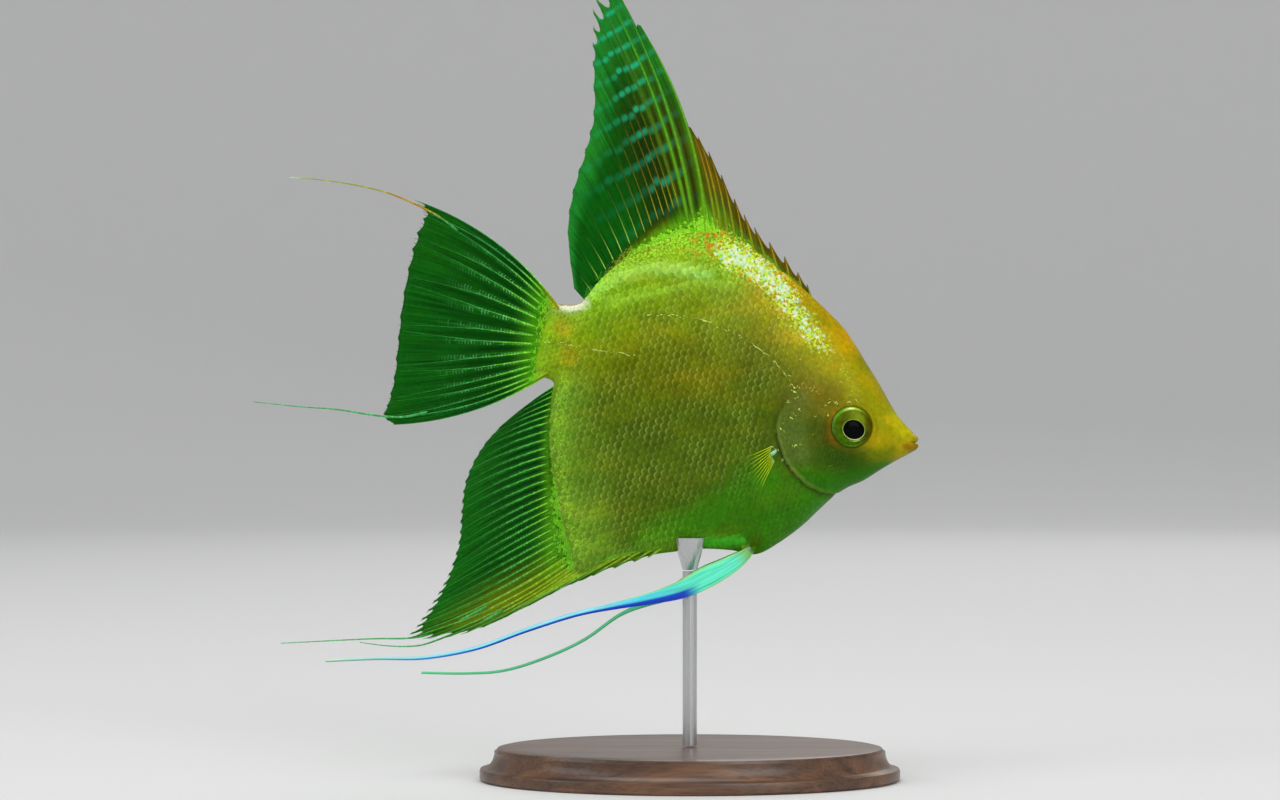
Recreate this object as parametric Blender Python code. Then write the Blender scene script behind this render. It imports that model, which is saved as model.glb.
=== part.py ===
"""Freshwater angelfish, golden form, as a life-size still model on a display stand.

The fish swims nose-down to +X with its fins spread. Its shape is given in the fish's own
frame: X runs forward along the body axis from the root of the tail fin, Z runs up the body
and Y to its left, all in parts of the standard length. One empty holds that frame over the
stand. Lengths outside the fish's frame are in metres.
"""
import math

import bmesh
import bpy
from mathutils import Vector

# Driving dimensions.
STANDARD_LENGTH = 0.070          # tip of the upper jaw to the root of the tail fin
NOSE_DOWN = math.radians(15.2)   # tilt of the body axis
TAIL_ROOT = (-0.0257, 0.0, 0.0794)  # root of the tail fin over the centre of the stand
GAP = 0.0003                     # clearance left between neighbouring pieces
FIN_ROOT = 0.0010                # thickness of a fin where it leaves the body
FIN_EDGE = 0.0005                # thickness of a fin at its edge
FILAMENT = 0.00055               # thickness of the trailing filaments
GILL_COVER = 0.0012              # thickness of a gill cover
BASE_LENGTH, BASE_WIDTH, BASE_HEIGHT = 0.076, 0.054, 0.006
ROD_RADIUS = 0.0013
CRADLE_RADIUS = 0.0030
CRADLE_FOOT, CRADLE_TOP = 0.0380, 0.0438

# Ribs of the body from tail to snout: (x, z) on the back, (x, z) on the belly, half width,
# how far down the rib is widest, and how sharply it thins to its two edges.
RIBS = [
    (-0.010, 0.098, -0.010, -0.096, 0.016, 0.50, 0.80),
    (0.030, 0.106, 0.040, -0.099, 0.024, 0.50, 0.80),
    (0.058, 0.122, 0.044, -0.135, 0.029, 0.46, 0.85),
    (0.090, 0.195, 0.054, -0.190, 0.034, 0.44, 0.90),
    (0.130, 0.262, 0.069, -0.255, 0.040, 0.44, 0.95),
    (0.180, 0.320, 0.090, -0.325, 0.047, 0.44, 1.00),
    (0.235, 0.362, 0.122, -0.400, 0.054, 0.44, 1.00),
    (0.290, 0.393, 0.172, -0.500, 0.061, 0.43, 1.00),
    (0.340, 0.405, 0.232, -0.580, 0.067, 0.43, 1.00),
    (0.390, 0.398, 0.305, -0.518, 0.072, 0.44, 0.95),
    (0.440, 0.379, 0.375, -0.478, 0.076, 0.46, 0.90),
    (0.500, 0.352, 0.450, -0.445, 0.080, 0.48, 0.85),
    (0.560, 0.325, 0.530, -0.412, 0.083, 0.50, 0.80),
    (0.620, 0.296, 0.600, -0.394, 0.086, 0.52, 0.75),
    (0.680, 0.264, 0.665, -0.386, 0.087, 0.52, 0.70),
    (0.730, 0.234, 0.715, -0.341, 0.086, 0.52, 0.66),
    (0.775, 0.196, 0.765, -0.278, 0.082, 0.50, 0.62),
    (0.812, 0.160, 0.812, -0.203, 0.076, 0.48, 0.60),
    (0.848, 0.126, 0.846, -0.165, 0.068, 0.48, 0.60),
    (0.884, 0.090, 0.884, -0.134, 0.057, 0.48, 0.60),
    (0.920, 0.058, 0.920, -0.095, 0.045, 0.50, 0.60),
    (0.950, 0.034, 0.952, -0.063, 0.033, 0.50, 0.60),
    (0.972, 0.019, 0.980, -0.035, 0.022, 0.50, 0.60),
    (0.986, 0.008, 0.992, -0.020, 0.011, 0.50, 0.60),
]
RIB_STEPS = 2
RIB_POINTS = 10
THINNEST = 0.003
RAYS_PER_KEY = 2
FIN_ROWS = 3
FILAMENT_STEPS = 2

# Where the head ends: down the nape, round the rear of the gill cover, under the throat.
HEAD_EDGE = [(0.590, 0.380), (0.612, 0.270), (0.636, 0.150), (0.640, 0.050), (0.625, -0.010),
             (0.627, -0.060), (0.646, -0.102), (0.683, -0.146), (0.733, -0.181),
             (0.785, -0.193), (0.822, -0.192), (0.870, -0.260)]
GILL_OUTLINE = [(0.640, 0.050), (0.625, -0.010), (0.627, -0.060), (0.646, -0.102),
                (0.683, -0.146), (0.726, -0.166), (0.758, -0.146), (0.742, -0.095),
                (0.727, -0.035), (0.712, 0.025), (0.680, 0.058)]
LOWER_JAW = [(1.030, -0.004), (0.952, -0.010), (0.932, -0.045), (0.903, -0.078),
             (0.896, -0.150), (1.030, -0.150)]
UPPER_JAW = [(1.030, -0.004), (0.952, -0.010), (0.938, 0.010), (0.955, 0.050), (1.030, 0.050)]
TAIL_STALK = [(-0.100, 0.300), (0.085, 0.300), (0.062, 0.020), (0.049, -0.100),
              (0.020, -0.135), (-0.100, -0.135)]

EYE_CENTRE = (0.815, 0.045, -0.010)
EYE_RADII = (0.0525, 0.036, 0.0525)

# Key rays of the fins, in order: root (x, z), tip (x, z), how far the ray bows to its left
# going outward, as a part of its length, and how deep the web is notched behind it.
DORSAL_RAYS = [
    (0.629, 0.280, 0.610, 0.318, 0.00, 0.35),
    (0.570, 0.300, 0.534, 0.372, 0.00, 0.35),
    (0.495, 0.336, 0.439, 0.424, 0.02, 0.30),
    (0.429, 0.355, 0.369, 0.483, 0.02, 0.20),
    (0.385, 0.366, 0.273, 0.583, 0.03, 0.12),
    (0.352, 0.368, 0.211, 0.631, 0.04, 0.20),
    (0.325, 0.366, 0.017, 0.852, 0.055, 0.06),
    (0.299, 0.358, -0.080, 0.929, 0.045, 0.09),
    (0.278, 0.346, -0.116, 0.893, 0.035, 0.08),
    (0.257, 0.335, -0.100, 0.814, 0.03, 0.04),
    (0.228, 0.318, -0.077, 0.726, 0.03, 0.02),
    (0.196, 0.292, -0.042, 0.603, 0.03, 0.02),
    (0.163, 0.262, -0.037, 0.502, 0.03, 0.02),
    (0.130, 0.220, -0.040, 0.392, 0.03, 0.02),
    (0.102, 0.172, -0.024, 0.284, 0.02, 0.02),
    (0.080, 0.118, 0.030, 0.150, 0.00, 0.02),
]
TAIL_RAYS = [
    (0.010, 0.088, -0.430, 0.262, 0.08, 0.12),
    (0.010, 0.074, -0.398, 0.232, 0.06, 0.02),
    (0.012, 0.056, -0.404, 0.168, 0.05, 0.02),
    (0.015, 0.036, -0.401, 0.087, 0.03, 0.01),
    (0.018, 0.014, -0.390, -0.020, 0.01, 0.01),
    (0.021, -0.008, -0.375, -0.112, -0.01, 0.01),
    (0.024, -0.030, -0.362, -0.197, -0.02, 0.01),
    (0.026, -0.050, -0.360, -0.262, -0.03, 0.01),
    (0.026, -0.068, -0.362, -0.300, -0.05, 0.01),
    (0.026, -0.080, -0.330, -0.314, -0.07, 0.01),
]
ANAL_RAYS = [
    (0.064, -0.092, -0.009, -0.176, 0.02, 0.02),
    (0.072, -0.138, -0.061, -0.249, 0.03, 0.02),
    (0.083, -0.189, -0.095, -0.323, 0.04, 0.02),
    (0.098, -0.252, -0.109, -0.407, 0.04, 0.02),
    (0.118, -0.308, -0.099, -0.485, 0.04, 0.02),
    (0.138, -0.362, -0.085, -0.564, 0.03, 0.02),
    (0.160, -0.404, -0.089, -0.651, 0.02, 0.03),
    (0.186, -0.445, -0.108, -0.728, 0.00, 0.05),
    (0.208, -0.482, -0.132, -0.799, -0.03, 0.05),
    (0.226, -0.508, -0.140, -0.832, -0.05, 0.10),
    (0.238, -0.522, -0.051, -0.806, -0.04, 0.10),
    (0.254, -0.530, 0.033, -0.756, -0.02, 0.06),
    (0.290, -0.508, 0.135, -0.670, 0.00, 0.10),
    (0.332, -0.480, 0.224, -0.590, 0.00, 0.15),
    (0.380, -0.456, 0.320, -0.521, 0.00, 0.30),
    (0.432, -0.432, 0.396, -0.472, 0.00, 0.30),
]

# Filaments of the tail and anal fins: points (x, z) from inside the fin to the tip.
TAIL_FILAMENTS = [
    [(-0.300, 0.215), (-0.360, 0.238), (-0.430, 0.253), (-0.505, 0.262), (-0.590, 0.260),
     (-0.680, 0.250), (-0.765, 0.235)],
    [(-0.240, -0.250), (-0.305, -0.286), (-0.378, -0.303), (-0.482, -0.315), (-0.580, -0.334),
     (-0.702, -0.354)],
]
ANAL_FILAMENTS = [
    [(0.030, -0.700), (-0.045, -0.770), (-0.100, -0.814), (-0.153, -0.838), (-0.235, -0.862),
     (-0.350, -0.900), (-0.463, -0.938)],
    [(0.070, -0.700), (0.036, -0.735), (-0.010, -0.773), (-0.090, -0.833), (-0.135, -0.855),
     (-0.195, -0.871), (-0.266, -0.882)],
]

# Pelvic fins: points (x, y outward, z, width) along the middle of each from root to tip.
PELVIC_RIGHT = [
    (0.636, 0.030, -0.404, 0.020), (0.600, 0.044, -0.438, 0.040), (0.552, 0.056, -0.480, 0.066),
    (0.498, 0.062, -0.526, 0.046), (0.424, 0.066, -0.572, 0.030), (0.345, 0.068, -0.612, 0.022),
    (0.250, 0.066, -0.662, 0.014), (0.140, 0.062, -0.734, 0.012), (0.032, 0.056, -0.810, 0.010),
    (-0.090, 0.050, -0.869, 0.009), (-0.210, 0.045, -0.904, 0.008), (-0.334, 0.042, -0.944, 0.008),
]
PELVIC_LEFT = [
    (0.636, 0.030, -0.404, 0.020), (0.600, 0.046, -0.440, 0.040), (0.548, 0.062, -0.486, 0.060),
    (0.490, 0.072, -0.540, 0.040), (0.430, 0.078, -0.588, 0.024), (0.364, 0.082, -0.642, 0.016),
    (0.292, 0.084, -0.728, 0.012), (0.203, 0.084, -0.802, 0.011), (0.112, 0.084, -0.859, 0.010),
    (0.018, 0.082, -0.892, 0.009), (-0.093, 0.080, -0.920, 0.008),
]

# Pectoral fin: base, then the leading and the trailing ray from it, outward in Y.
PECTORAL_BASE = (0.637, 0.080, -0.124)
PECTORAL_LEADING = (-0.035, 0.110, -0.155)
PECTORAL_TRAILING = (-0.105, 0.090, -0.085)
PECTORAL_RAYS = 9


def clear_scene():
    for obj in list(bpy.data.objects):
        bpy.data.objects.remove(obj, do_unlink=True)


def make_material(name, color, roughness, metallic=0.0):
    material = bpy.data.materials.new(name)
    material.use_nodes = True
    shader = material.node_tree.nodes["Principled BSDF"]
    shader.inputs["Base Color"].default_value = (*color, 1.0)
    shader.inputs["Roughness"].default_value = roughness
    shader.inputs["Metallic"].default_value = metallic
    return material


def add_object(name, mesh, material, parent):
    """An object for one sub-part, in its parent's frame."""
    obj = bpy.data.objects.new(name, mesh)
    bpy.context.collection.objects.link(obj)
    obj.parent = parent
    mesh.materials.append(material)
    return obj


def add_guide(name, mesh, parent):
    """A hidden shape that only cuts others."""
    obj = bpy.data.objects.new(name, mesh)
    bpy.context.collection.objects.link(obj)
    obj.parent = parent
    obj.hide_render = True
    obj.display_type = 'WIRE'
    return obj


def boolean(obj, operation, other):
    modifier = obj.modifiers.new(operation.lower() + "_" + other.name, 'BOOLEAN')
    modifier.operation = operation
    modifier.solver = 'EXACT'
    modifier.object = other


def finish_mesh(name, bm, smooth=True):
    bm.normal_update()
    bmesh.ops.recalc_face_normals(bm, faces=bm.faces)
    mesh = bpy.data.meshes.new(name)
    bm.to_mesh(mesh)
    bm.free()
    if smooth:
        mesh.shade_smooth()
        mesh.set_sharp_from_angle(angle=math.radians(40))
    return mesh


def smooth_rows(rows, steps):
    """A smooth curve through rows of numbers, with `steps` points to each interval."""
    last = len(rows) - 1
    curve = []
    for i in range(last):
        before, start = rows[max(i - 1, 0)], rows[i]
        end, after = rows[i + 1], rows[min(i + 2, last)]
        for step in range(steps):
            t = step / steps
            curve.append(tuple(
                0.5 * (2 * b + (c - a) * t + (2 * a - 5 * b + 4 * c - d) * t ** 2
                       + (3 * b - a - 3 * c + d) * t ** 3)
                for a, b, c, d in zip(before, start, end, after)))
    curve.append(tuple(rows[-1]))
    return curve


def skin_rings(bm, rings):
    """Join closed rings of equal length into a tube with both ends closed."""
    for near, far in zip(rings, rings[1:]):
        for i in range(len(near)):
            j = (i + 1) % len(near)
            bm.faces.new((near[i], near[j], far[j], far[i]))
    bm.faces.new(rings[0])
    bm.faces.new(rings[-1])


def body_mesh(name, swell=0.0, thinner=0.0):
    """The body from tail to snout without fins.

    `swell` moves it out by that many metres all over, and `thinner` takes that much off each
    of its two sides.
    """
    bm = bmesh.new()
    rings = []
    for back_x, back_z, belly_x, belly_z, half_width, widest, edge in smooth_rows(RIBS, RIB_STEPS):
        right, left = [], []
        for i in range(RIB_POINTS + 1):
            down = 0.5 - 0.5 * math.cos(math.pi * i / RIB_POINTS)
            reach = (down - widest) / (widest if down < widest else 1 - widest)
            y = half_width * max(0.0, 1 - reach * reach) ** edge
            if thinner:
                y = max(y - thinner / STANDARD_LENGTH, THINNEST)
            x = back_x + (belly_x - back_x) * down
            z = back_z + (belly_z - back_z) * down
            right.append(Vector((x, -y, z)) * STANDARD_LENGTH)
            left.append(Vector((x, y, z)) * STANDARD_LENGTH)
        rings.append([bm.verts.new(p) for p in right + left[-2:0:-1]])
    skin_rings(bm, rings)
    if swell:
        bm.normal_update()
        bmesh.ops.recalc_face_normals(bm, faces=bm.faces)
        bm.normal_update()
        moved = [(v, v.co + v.normal * swell) for v in bm.verts]
        for vert, place in moved:
            vert.co = place
    return finish_mesh(name, bm)


def grow_outline(outline, distance):
    """A closed (x, z) outline moved outwards by `distance`."""
    count = len(outline)
    area = sum(outline[i][0] * outline[(i + 1) % count][1]
               - outline[(i + 1) % count][0] * outline[i][1] for i in range(count))
    outwards = distance if area > 0 else -distance
    grown = []
    for i in range(count):
        (x0, z0), (x1, z1), (x2, z2) = outline[i - 1], outline[i], outline[(i + 1) % count]
        before = Vector((z1 - z0, x0 - x1)).normalized()
        after = Vector((z2 - z1, x1 - x2)).normalized()
        corner = before + after
        corner *= outwards / max(corner.dot(before), 0.3)
        grown.append((x1 + corner.x, z1 + corner.y))
    return grown


def prism_mesh(name, outline, grow=0.0):
    """An (x, z) outline, in standard lengths, as a block right through the fish."""
    bm = bmesh.new()
    depth = 0.3
    if grow:
        outline = grow_outline(outline, grow / STANDARD_LENGTH)
    rings = []
    for y in (-depth, depth):
        rings.append([bm.verts.new(Vector((x, y, z)) * STANDARD_LENGTH) for x, z in outline])
    skin_rings(bm, rings)
    return finish_mesh(name, bm, smooth=False)


def swept_mesh(name, path, sides=8):
    """A closed strip along (x, y, z, width, thickness) points in the fish's frame, metres.

    The width lies in the X-Z plane across the path and the thickness along Y.
    """
    bm = bmesh.new()
    rings = []
    for i, (x, y, z, width, thickness) in enumerate(path):
        before, after = path[max(i - 1, 0)], path[min(i + 1, len(path) - 1)]
        along = Vector((after[0] - before[0], 0.0, after[2] - before[2])).normalized()
        across = Vector((-along.z, 0.0, along.x))
        ring = []
        for k in range(sides):
            turn = 2 * math.pi * (k + 0.5) / sides
            offset = across * (0.5 * width * math.cos(turn))
            offset.y = 0.5 * thickness * math.sin(turn)
            ring.append(bm.verts.new(Vector((x, y, z)) + offset))
        rings.append(ring)
    skin_rings(bm, rings)
    return finish_mesh(name, bm)


def ray_point(ray, out):
    """The (x, z) point at the part `out` of a ray's way from root to tip."""
    root_x, root_z, tip_x, tip_z, bow = ray[:5]
    span_x, span_z = tip_x - root_x, tip_z - root_z
    bulge = 4 * bow * out * (1 - out)
    return root_x + span_x * out + span_z * bulge, root_z + span_z * out - span_x * bulge


def fin_columns(keys):
    """Rays and the webs between them, as (ray, how far out the fin goes there)."""
    rays = smooth_rows(keys, RAYS_PER_KEY)
    columns = []
    for ray, following in zip(rays, rays[1:]):
        columns.append((ray, 1.0))
        middle = tuple((a + b) / 2 for a, b in zip(ray, following))
        columns.append((middle, 1.0 - ray[5]))
    columns.append((rays[-1], 1.0))
    return columns


def fin_mesh(name, keys, sway):
    """A fin of rays and web; `sway` gives its sideways bend at (x, z, part of the way out)."""
    bm = bmesh.new()
    sheets = {}
    for side in (-1, 1):
        sheet = []
        for ray, reach in fin_columns(keys):
            column = []
            for row in range(FIN_ROWS + 1):
                out = reach * row / FIN_ROWS
                x, z = ray_point(ray, out)
                half = 0.5 * (FIN_ROOT + (FIN_EDGE - FIN_ROOT) * min(1.0, 2.5 * out))
                place = Vector((x, sway(x, z, out), z)) * STANDARD_LENGTH
                place.y += side * half
                column.append(bm.verts.new(place))
            sheet.append(column)
        sheets[side] = sheet
    near, far = sheets[-1], sheets[1]
    for sheet in (near, far):
        for left, right in zip(sheet, sheet[1:]):
            for row in range(FIN_ROWS):
                bm.faces.new((left[row], left[row + 1], right[row + 1], right[row]))
    rim_near = rim(near)
    rim_far = rim(far)
    for i in range(len(rim_near)):
        j = (i + 1) % len(rim_near)
        bm.faces.new((rim_near[i], rim_near[j], rim_far[j], rim_far[i]))
    return finish_mesh(name, bm)


def rim(sheet):
    """The verts round the border of a sheet of columns."""
    roots = [column[0] for column in sheet]
    tips = [column[-1] for column in sheet]
    return roots + sheet[-1][1:-1] + tips[::-1] + sheet[0][-2:0:-1]


def dorsal_sway(x, z, out):
    return 0.030 * out * out + 0.006 * out * math.sin(22 * x)


def tail_sway(x, z, out):
    return 0.045 * out * out + 0.008 * out * math.sin(16 * z)


def anal_sway(x, z, out):
    return -0.020 * out * out + 0.007 * out * math.sin(18 * z)


def add_filaments(fin, name, lines, sway, parent):
    """Trailing filaments, joined to the fin that they grow from."""
    for number, line in enumerate(lines, start=1):
        curve = smooth_rows(line, FILAMENT_STEPS)
        start = sway(curve[0][0], curve[0][1], 0.8)
        drift = 0.05
        path = []
        for i, (x, z) in enumerate(curve):
            part = i / (len(curve) - 1)
            y = start + drift * part * part
            path.append((x * STANDARD_LENGTH, y * STANDARD_LENGTH, z * STANDARD_LENGTH,
                         FILAMENT * (1.3 - 0.3 * part), FILAMENT * (1.3 - 0.3 * part)))
        mesh = swept_mesh(f"{name}_{number}", path, sides=5)
        boolean(fin, 'UNION', add_guide(f"{name}_{number}", mesh, parent))


def pelvic_mesh(name, points, side):
    """A pelvic fin: a short blade that runs out into one long filament."""
    path = []
    for x, y, z, width in smooth_rows(points, 2):
        thick = FILAMENT + 0.0004 * min(1.0, width / 0.05)
        path.append((x * STANDARD_LENGTH, side * y * STANDARD_LENGTH, z * STANDARD_LENGTH,
                     max(width * STANDARD_LENGTH, FILAMENT), thick))
    return swept_mesh(name, path, sides=8)


def pectoral_mesh(name, side):
    """A half-spread pectoral fin, its rays fanning from a short base."""
    bm = bmesh.new()
    base = Vector(PECTORAL_BASE)
    leading, trailing = Vector(PECTORAL_LEADING), Vector(PECTORAL_TRAILING)
    facing = leading.cross(trailing).normalized()
    rows = 4
    sheets = []
    for sheet_side in (-0.5, 0.5):
        sheet = []
        for i in range(PECTORAL_RAYS):
            turn = i / (PECTORAL_RAYS - 1)
            ray = leading.lerp(trailing, turn)
            ray *= 1.0 + 0.16 * math.sin(math.pi * turn)
            root = base + Vector((-0.014, 0.004, 0.030)) * (turn - 0.5)
            column = []
            for row in range(rows + 1):
                out = row / rows
                place = (root + ray * out + facing * (0.03 * out * out)) * STANDARD_LENGTH
                place += facing * (sheet_side * (FIN_ROOT + (FIN_EDGE - FIN_ROOT) * out))
                place.y *= side
                column.append(bm.verts.new(place))
            sheet.append(column)
        sheets.append(sheet)
    for sheet in sheets:
        for left, right in zip(sheet, sheet[1:]):
            for row in range(rows):
                bm.faces.new((left[row], left[row + 1], right[row + 1], right[row]))
    rim_near, rim_far = rim(sheets[0]), rim(sheets[1])
    for i in range(len(rim_near)):
        j = (i + 1) % len(rim_near)
        bm.faces.new((rim_near[i], rim_near[j], rim_far[j], rim_far[i]))
    return finish_mesh(name, bm)


def eye_mesh(name, side, swell=0.0):
    """An eye: a ball flattened from the side, standing a little proud of the head."""
    bm = bmesh.new()
    bmesh.ops.create_uvsphere(bm, u_segments=16, v_segments=9, radius=1.0)
    centre = Vector(EYE_CENTRE) * STANDARD_LENGTH
    centre.y *= side
    radii = [radius * STANDARD_LENGTH + swell for radius in EYE_RADII]
    for vert in bm.verts:
        x, y, z = vert.co
        vert.co = centre + Vector((x * radii[0], z * radii[1], y * radii[2]))
    return finish_mesh(name, bm)


def add_body(fish, flesh, eye_finish):
    """Head, jaws, gill covers, eyes, trunk and tail stalk, parted by thin cuts."""
    head_side = HEAD_EDGE + [(1.1, -0.260), (1.1, 0.380)]
    head_block = add_guide("cut_head", prism_mesh("cut_head", smooth_edge(head_side)), fish)
    head_clear = add_guide("cut_head_clear",
                           prism_mesh("cut_head_clear", smooth_edge(head_side), GAP), fish)
    stalk_block = add_guide("cut_stalk", prism_mesh("cut_stalk", TAIL_STALK), fish)
    stalk_clear = add_guide("cut_stalk_clear",
                            prism_mesh("cut_stalk_clear", TAIL_STALK, GAP), fish)

    trunk = add_object("trunk", body_mesh("trunk"), flesh, fish)
    boolean(trunk, 'DIFFERENCE', head_clear)
    boolean(trunk, 'DIFFERENCE', stalk_clear)
    stalk = add_object("tail_stalk", body_mesh("tail_stalk"), flesh, fish)
    boolean(stalk, 'INTERSECT', stalk_block)

    head = add_object("head", body_mesh("head"), flesh, fish)
    boolean(head, 'INTERSECT', head_block)
    for name, outline in (("lower_jaw", LOWER_JAW), ("upper_jaw", UPPER_JAW)):
        jaw = add_object(name, body_mesh(name), flesh, fish)
        cut = add_guide("cut_" + name, prism_mesh("cut_" + name, outline, -GAP / 2), fish)
        clear = add_guide("clear_" + name, prism_mesh("clear_" + name, outline, GAP / 2), fish)
        boolean(jaw, 'INTERSECT', cut)
        boolean(head, 'DIFFERENCE', clear)

    core = add_guide("core", body_mesh("core", thinner=GILL_COVER), fish)
    deep_core = add_guide("deep_core", body_mesh("deep_core", thinner=GILL_COVER + GAP), fish)
    for word, side in (("left", 1), ("right", -1)):
        half = half_space_mesh("half_" + word, side)
        half = add_guide("half_" + word, half, fish)
        cut = add_guide("cut_gill_" + word, prism_mesh("cut_gill_" + word, GILL_OUTLINE), fish)
        boolean(cut, 'INTERSECT', half)
        cover = add_object("gill_cover_" + word, body_mesh("gill_cover_" + word), flesh, fish)
        boolean(cover, 'INTERSECT', cut)
        boolean(cover, 'DIFFERENCE', core)
        recess = add_guide("recess_" + word,
                           prism_mesh("recess_" + word, GILL_OUTLINE, GAP), fish)
        boolean(recess, 'INTERSECT', half)
        boolean(recess, 'DIFFERENCE', deep_core)
        boolean(head, 'DIFFERENCE', recess)

        eye = add_object("eye_" + word, eye_mesh("eye_" + word, side), eye_finish, fish)
        socket = add_guide("socket_" + word, eye_mesh("socket_" + word, side, GAP), fish)
        boolean(head, 'DIFFERENCE', socket)
        eye.data.shade_smooth()


def smooth_edge(outline):
    """The head's outline with its free edge rounded and its far corners kept."""
    corners = 2
    return smooth_rows(outline[:-corners], 2) + outline[-corners:]


def half_space_mesh(name, side):
    """A block over one side of the fish, clear of its middle."""
    bm = bmesh.new()
    bmesh.ops.create_cube(bm, size=1.0)
    for vert in bm.verts:
        x, y, z = vert.co
        vert.co = Vector((0.5 + x * 1.5, side * (0.015 + (y + 0.5) * 0.4), z * 1.5))
        vert.co *= STANDARD_LENGTH
    return finish_mesh(name, bm, smooth=False)


def add_fins(fish, clearance, web, pale, blue):
    """Dorsal, anal, tail, pelvic and pectoral fins, each cut clear of the body."""
    dorsal = add_object("dorsal_fin", fin_mesh("dorsal_fin", DORSAL_RAYS, dorsal_sway),
                        web, fish)
    boolean(dorsal, 'DIFFERENCE', clearance)
    anal = add_object("anal_fin", fin_mesh("anal_fin", ANAL_RAYS, anal_sway), web, fish)
    boolean(anal, 'DIFFERENCE', clearance)
    add_filaments(anal, "anal_filament", ANAL_FILAMENTS, anal_sway, fish)
    tail = add_object("tail_fin", fin_mesh("tail_fin", TAIL_RAYS, tail_sway), web, fish)
    boolean(tail, 'DIFFERENCE', clearance)
    add_filaments(tail, "tail_filament", TAIL_FILAMENTS, tail_sway, fish)
    for word, side, line in (("right", -1, PELVIC_RIGHT), ("left", 1, PELVIC_LEFT)):
        name = "pelvic_fin_" + word
        pelvic = add_object(name, pelvic_mesh(name, line, side), blue, fish)
        boolean(pelvic, 'DIFFERENCE', clearance)
        name = "pectoral_fin_" + word
        pectoral = add_object(name, pectoral_mesh(name, side), pale, fish)
        boolean(pectoral, 'DIFFERENCE', clearance)


def add_stand(clearance, timber, steel):
    """A flat oval base, one rod and a small cradle under the belly."""
    bpy.ops.mesh.primitive_cylinder_add(vertices=40, radius=0.5, depth=1.0)
    base = bpy.context.object
    base.name = base.data.name = "stand_base"
    for vert in base.data.vertices:
        x, y, z = vert.co
        vert.co = (x * BASE_LENGTH, y * BASE_WIDTH, (z + 0.5) * BASE_HEIGHT)
    bevel = base.modifiers.new("rounded top edge", 'BEVEL')
    bevel.width = 0.0015
    bevel.segments = 2
    base.data.materials.append(timber)

    foot = BASE_HEIGHT + GAP
    top = CRADLE_FOOT - GAP
    bpy.ops.mesh.primitive_cylinder_add(vertices=24, radius=ROD_RADIUS, depth=top - foot,
                                        location=(0.0, 0.0, (top + foot) / 2))
    rod = bpy.context.object
    rod.name = rod.data.name = "stand_rod"
    rod.data.materials.append(steel)

    bpy.ops.mesh.primitive_cone_add(vertices=24, radius1=ROD_RADIUS, radius2=CRADLE_RADIUS,
                                    depth=CRADLE_TOP - CRADLE_FOOT,
                                    location=(0.0, 0.0, (CRADLE_TOP + CRADLE_FOOT) / 2))
    cradle = bpy.context.object
    cradle.name = cradle.data.name = "stand_cradle"
    cradle.data.materials.append(steel)
    boolean(cradle, 'DIFFERENCE', clearance)
    for piece in (base, rod, cradle):
        piece.data.shade_smooth()
        piece.data.set_sharp_from_angle(angle=math.radians(40))


def build():
    clear_scene()
    flesh = make_material("golden_scales", (0.20, 0.22, 0.02), 0.35)
    web = make_material("fin_web", (0.03, 0.13, 0.02), 0.40)
    pale = make_material("pectoral_web", (0.30, 0.36, 0.06), 0.40)
    blue = make_material("pelvic_blue", (0.12, 0.55, 0.50), 0.35)
    eye_finish = make_material("eye_gold", (0.12, 0.20, 0.02), 0.12)
    timber = make_material("stained_wood", (0.10, 0.045, 0.02), 0.45)
    steel = make_material("brushed_steel", (0.55, 0.55, 0.56), 0.30, 1.0)

    fish = bpy.data.objects.new("fish", None)
    bpy.context.collection.objects.link(fish)
    fish.location = TAIL_ROOT
    fish.rotation_euler = (0.0, NOSE_DOWN, 0.0)
    clearance = add_guide("clearance", body_mesh("clearance", GAP), fish)

    add_body(fish, flesh, eye_finish)
    add_fins(fish, clearance, web, pale, blue)
    add_stand(clearance, timber, steel)


build()
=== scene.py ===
# Freshwater angelfish, golden form: the looks of a life-size still model on its stand.
#
# Every shape of the fish is worked out in its own frame, as in the solids: X runs forward
# along the body axis from the root of the tail fin, Y to its left and Z up, all in parts of
# the standard length. TO_MODEL then takes the finished mesh to its place over the stand.
import math
import random

import bpy
from mathutils import Matrix, Vector, noise
from mathutils.bvhtree import BVHTree


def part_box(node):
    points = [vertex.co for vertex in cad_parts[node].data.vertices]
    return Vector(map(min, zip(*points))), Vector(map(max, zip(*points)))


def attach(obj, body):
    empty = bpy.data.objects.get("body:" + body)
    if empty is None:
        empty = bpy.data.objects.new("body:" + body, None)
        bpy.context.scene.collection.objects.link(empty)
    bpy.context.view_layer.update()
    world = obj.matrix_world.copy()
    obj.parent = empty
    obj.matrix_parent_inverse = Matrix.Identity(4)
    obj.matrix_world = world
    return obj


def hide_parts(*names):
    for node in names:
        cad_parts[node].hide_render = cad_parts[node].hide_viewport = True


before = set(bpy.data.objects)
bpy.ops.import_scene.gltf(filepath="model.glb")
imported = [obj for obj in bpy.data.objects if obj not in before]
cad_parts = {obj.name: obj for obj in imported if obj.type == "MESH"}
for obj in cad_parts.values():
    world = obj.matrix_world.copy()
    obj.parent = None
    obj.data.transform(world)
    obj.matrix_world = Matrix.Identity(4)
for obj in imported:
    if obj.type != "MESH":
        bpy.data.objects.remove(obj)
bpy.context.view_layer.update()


# ---------------------------------------------------------------------------------------
# The studio. A pale floor sweeps up all round into a pale wall, so that no edge shows, under
# soft lamps. It is no part of the model. The camera stands level, a little over the base.
CAMERA_PLACE = (-0.0090, -0.6430, 0.0687)
CAMERA_LENS = 100.0
FLOOR_RADIUS = 1.30
SWEEP_RADIUS = 0.70
SWEEP_STEPS = 12
WALL_HEIGHT = 1.2                 # above the sweep


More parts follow.
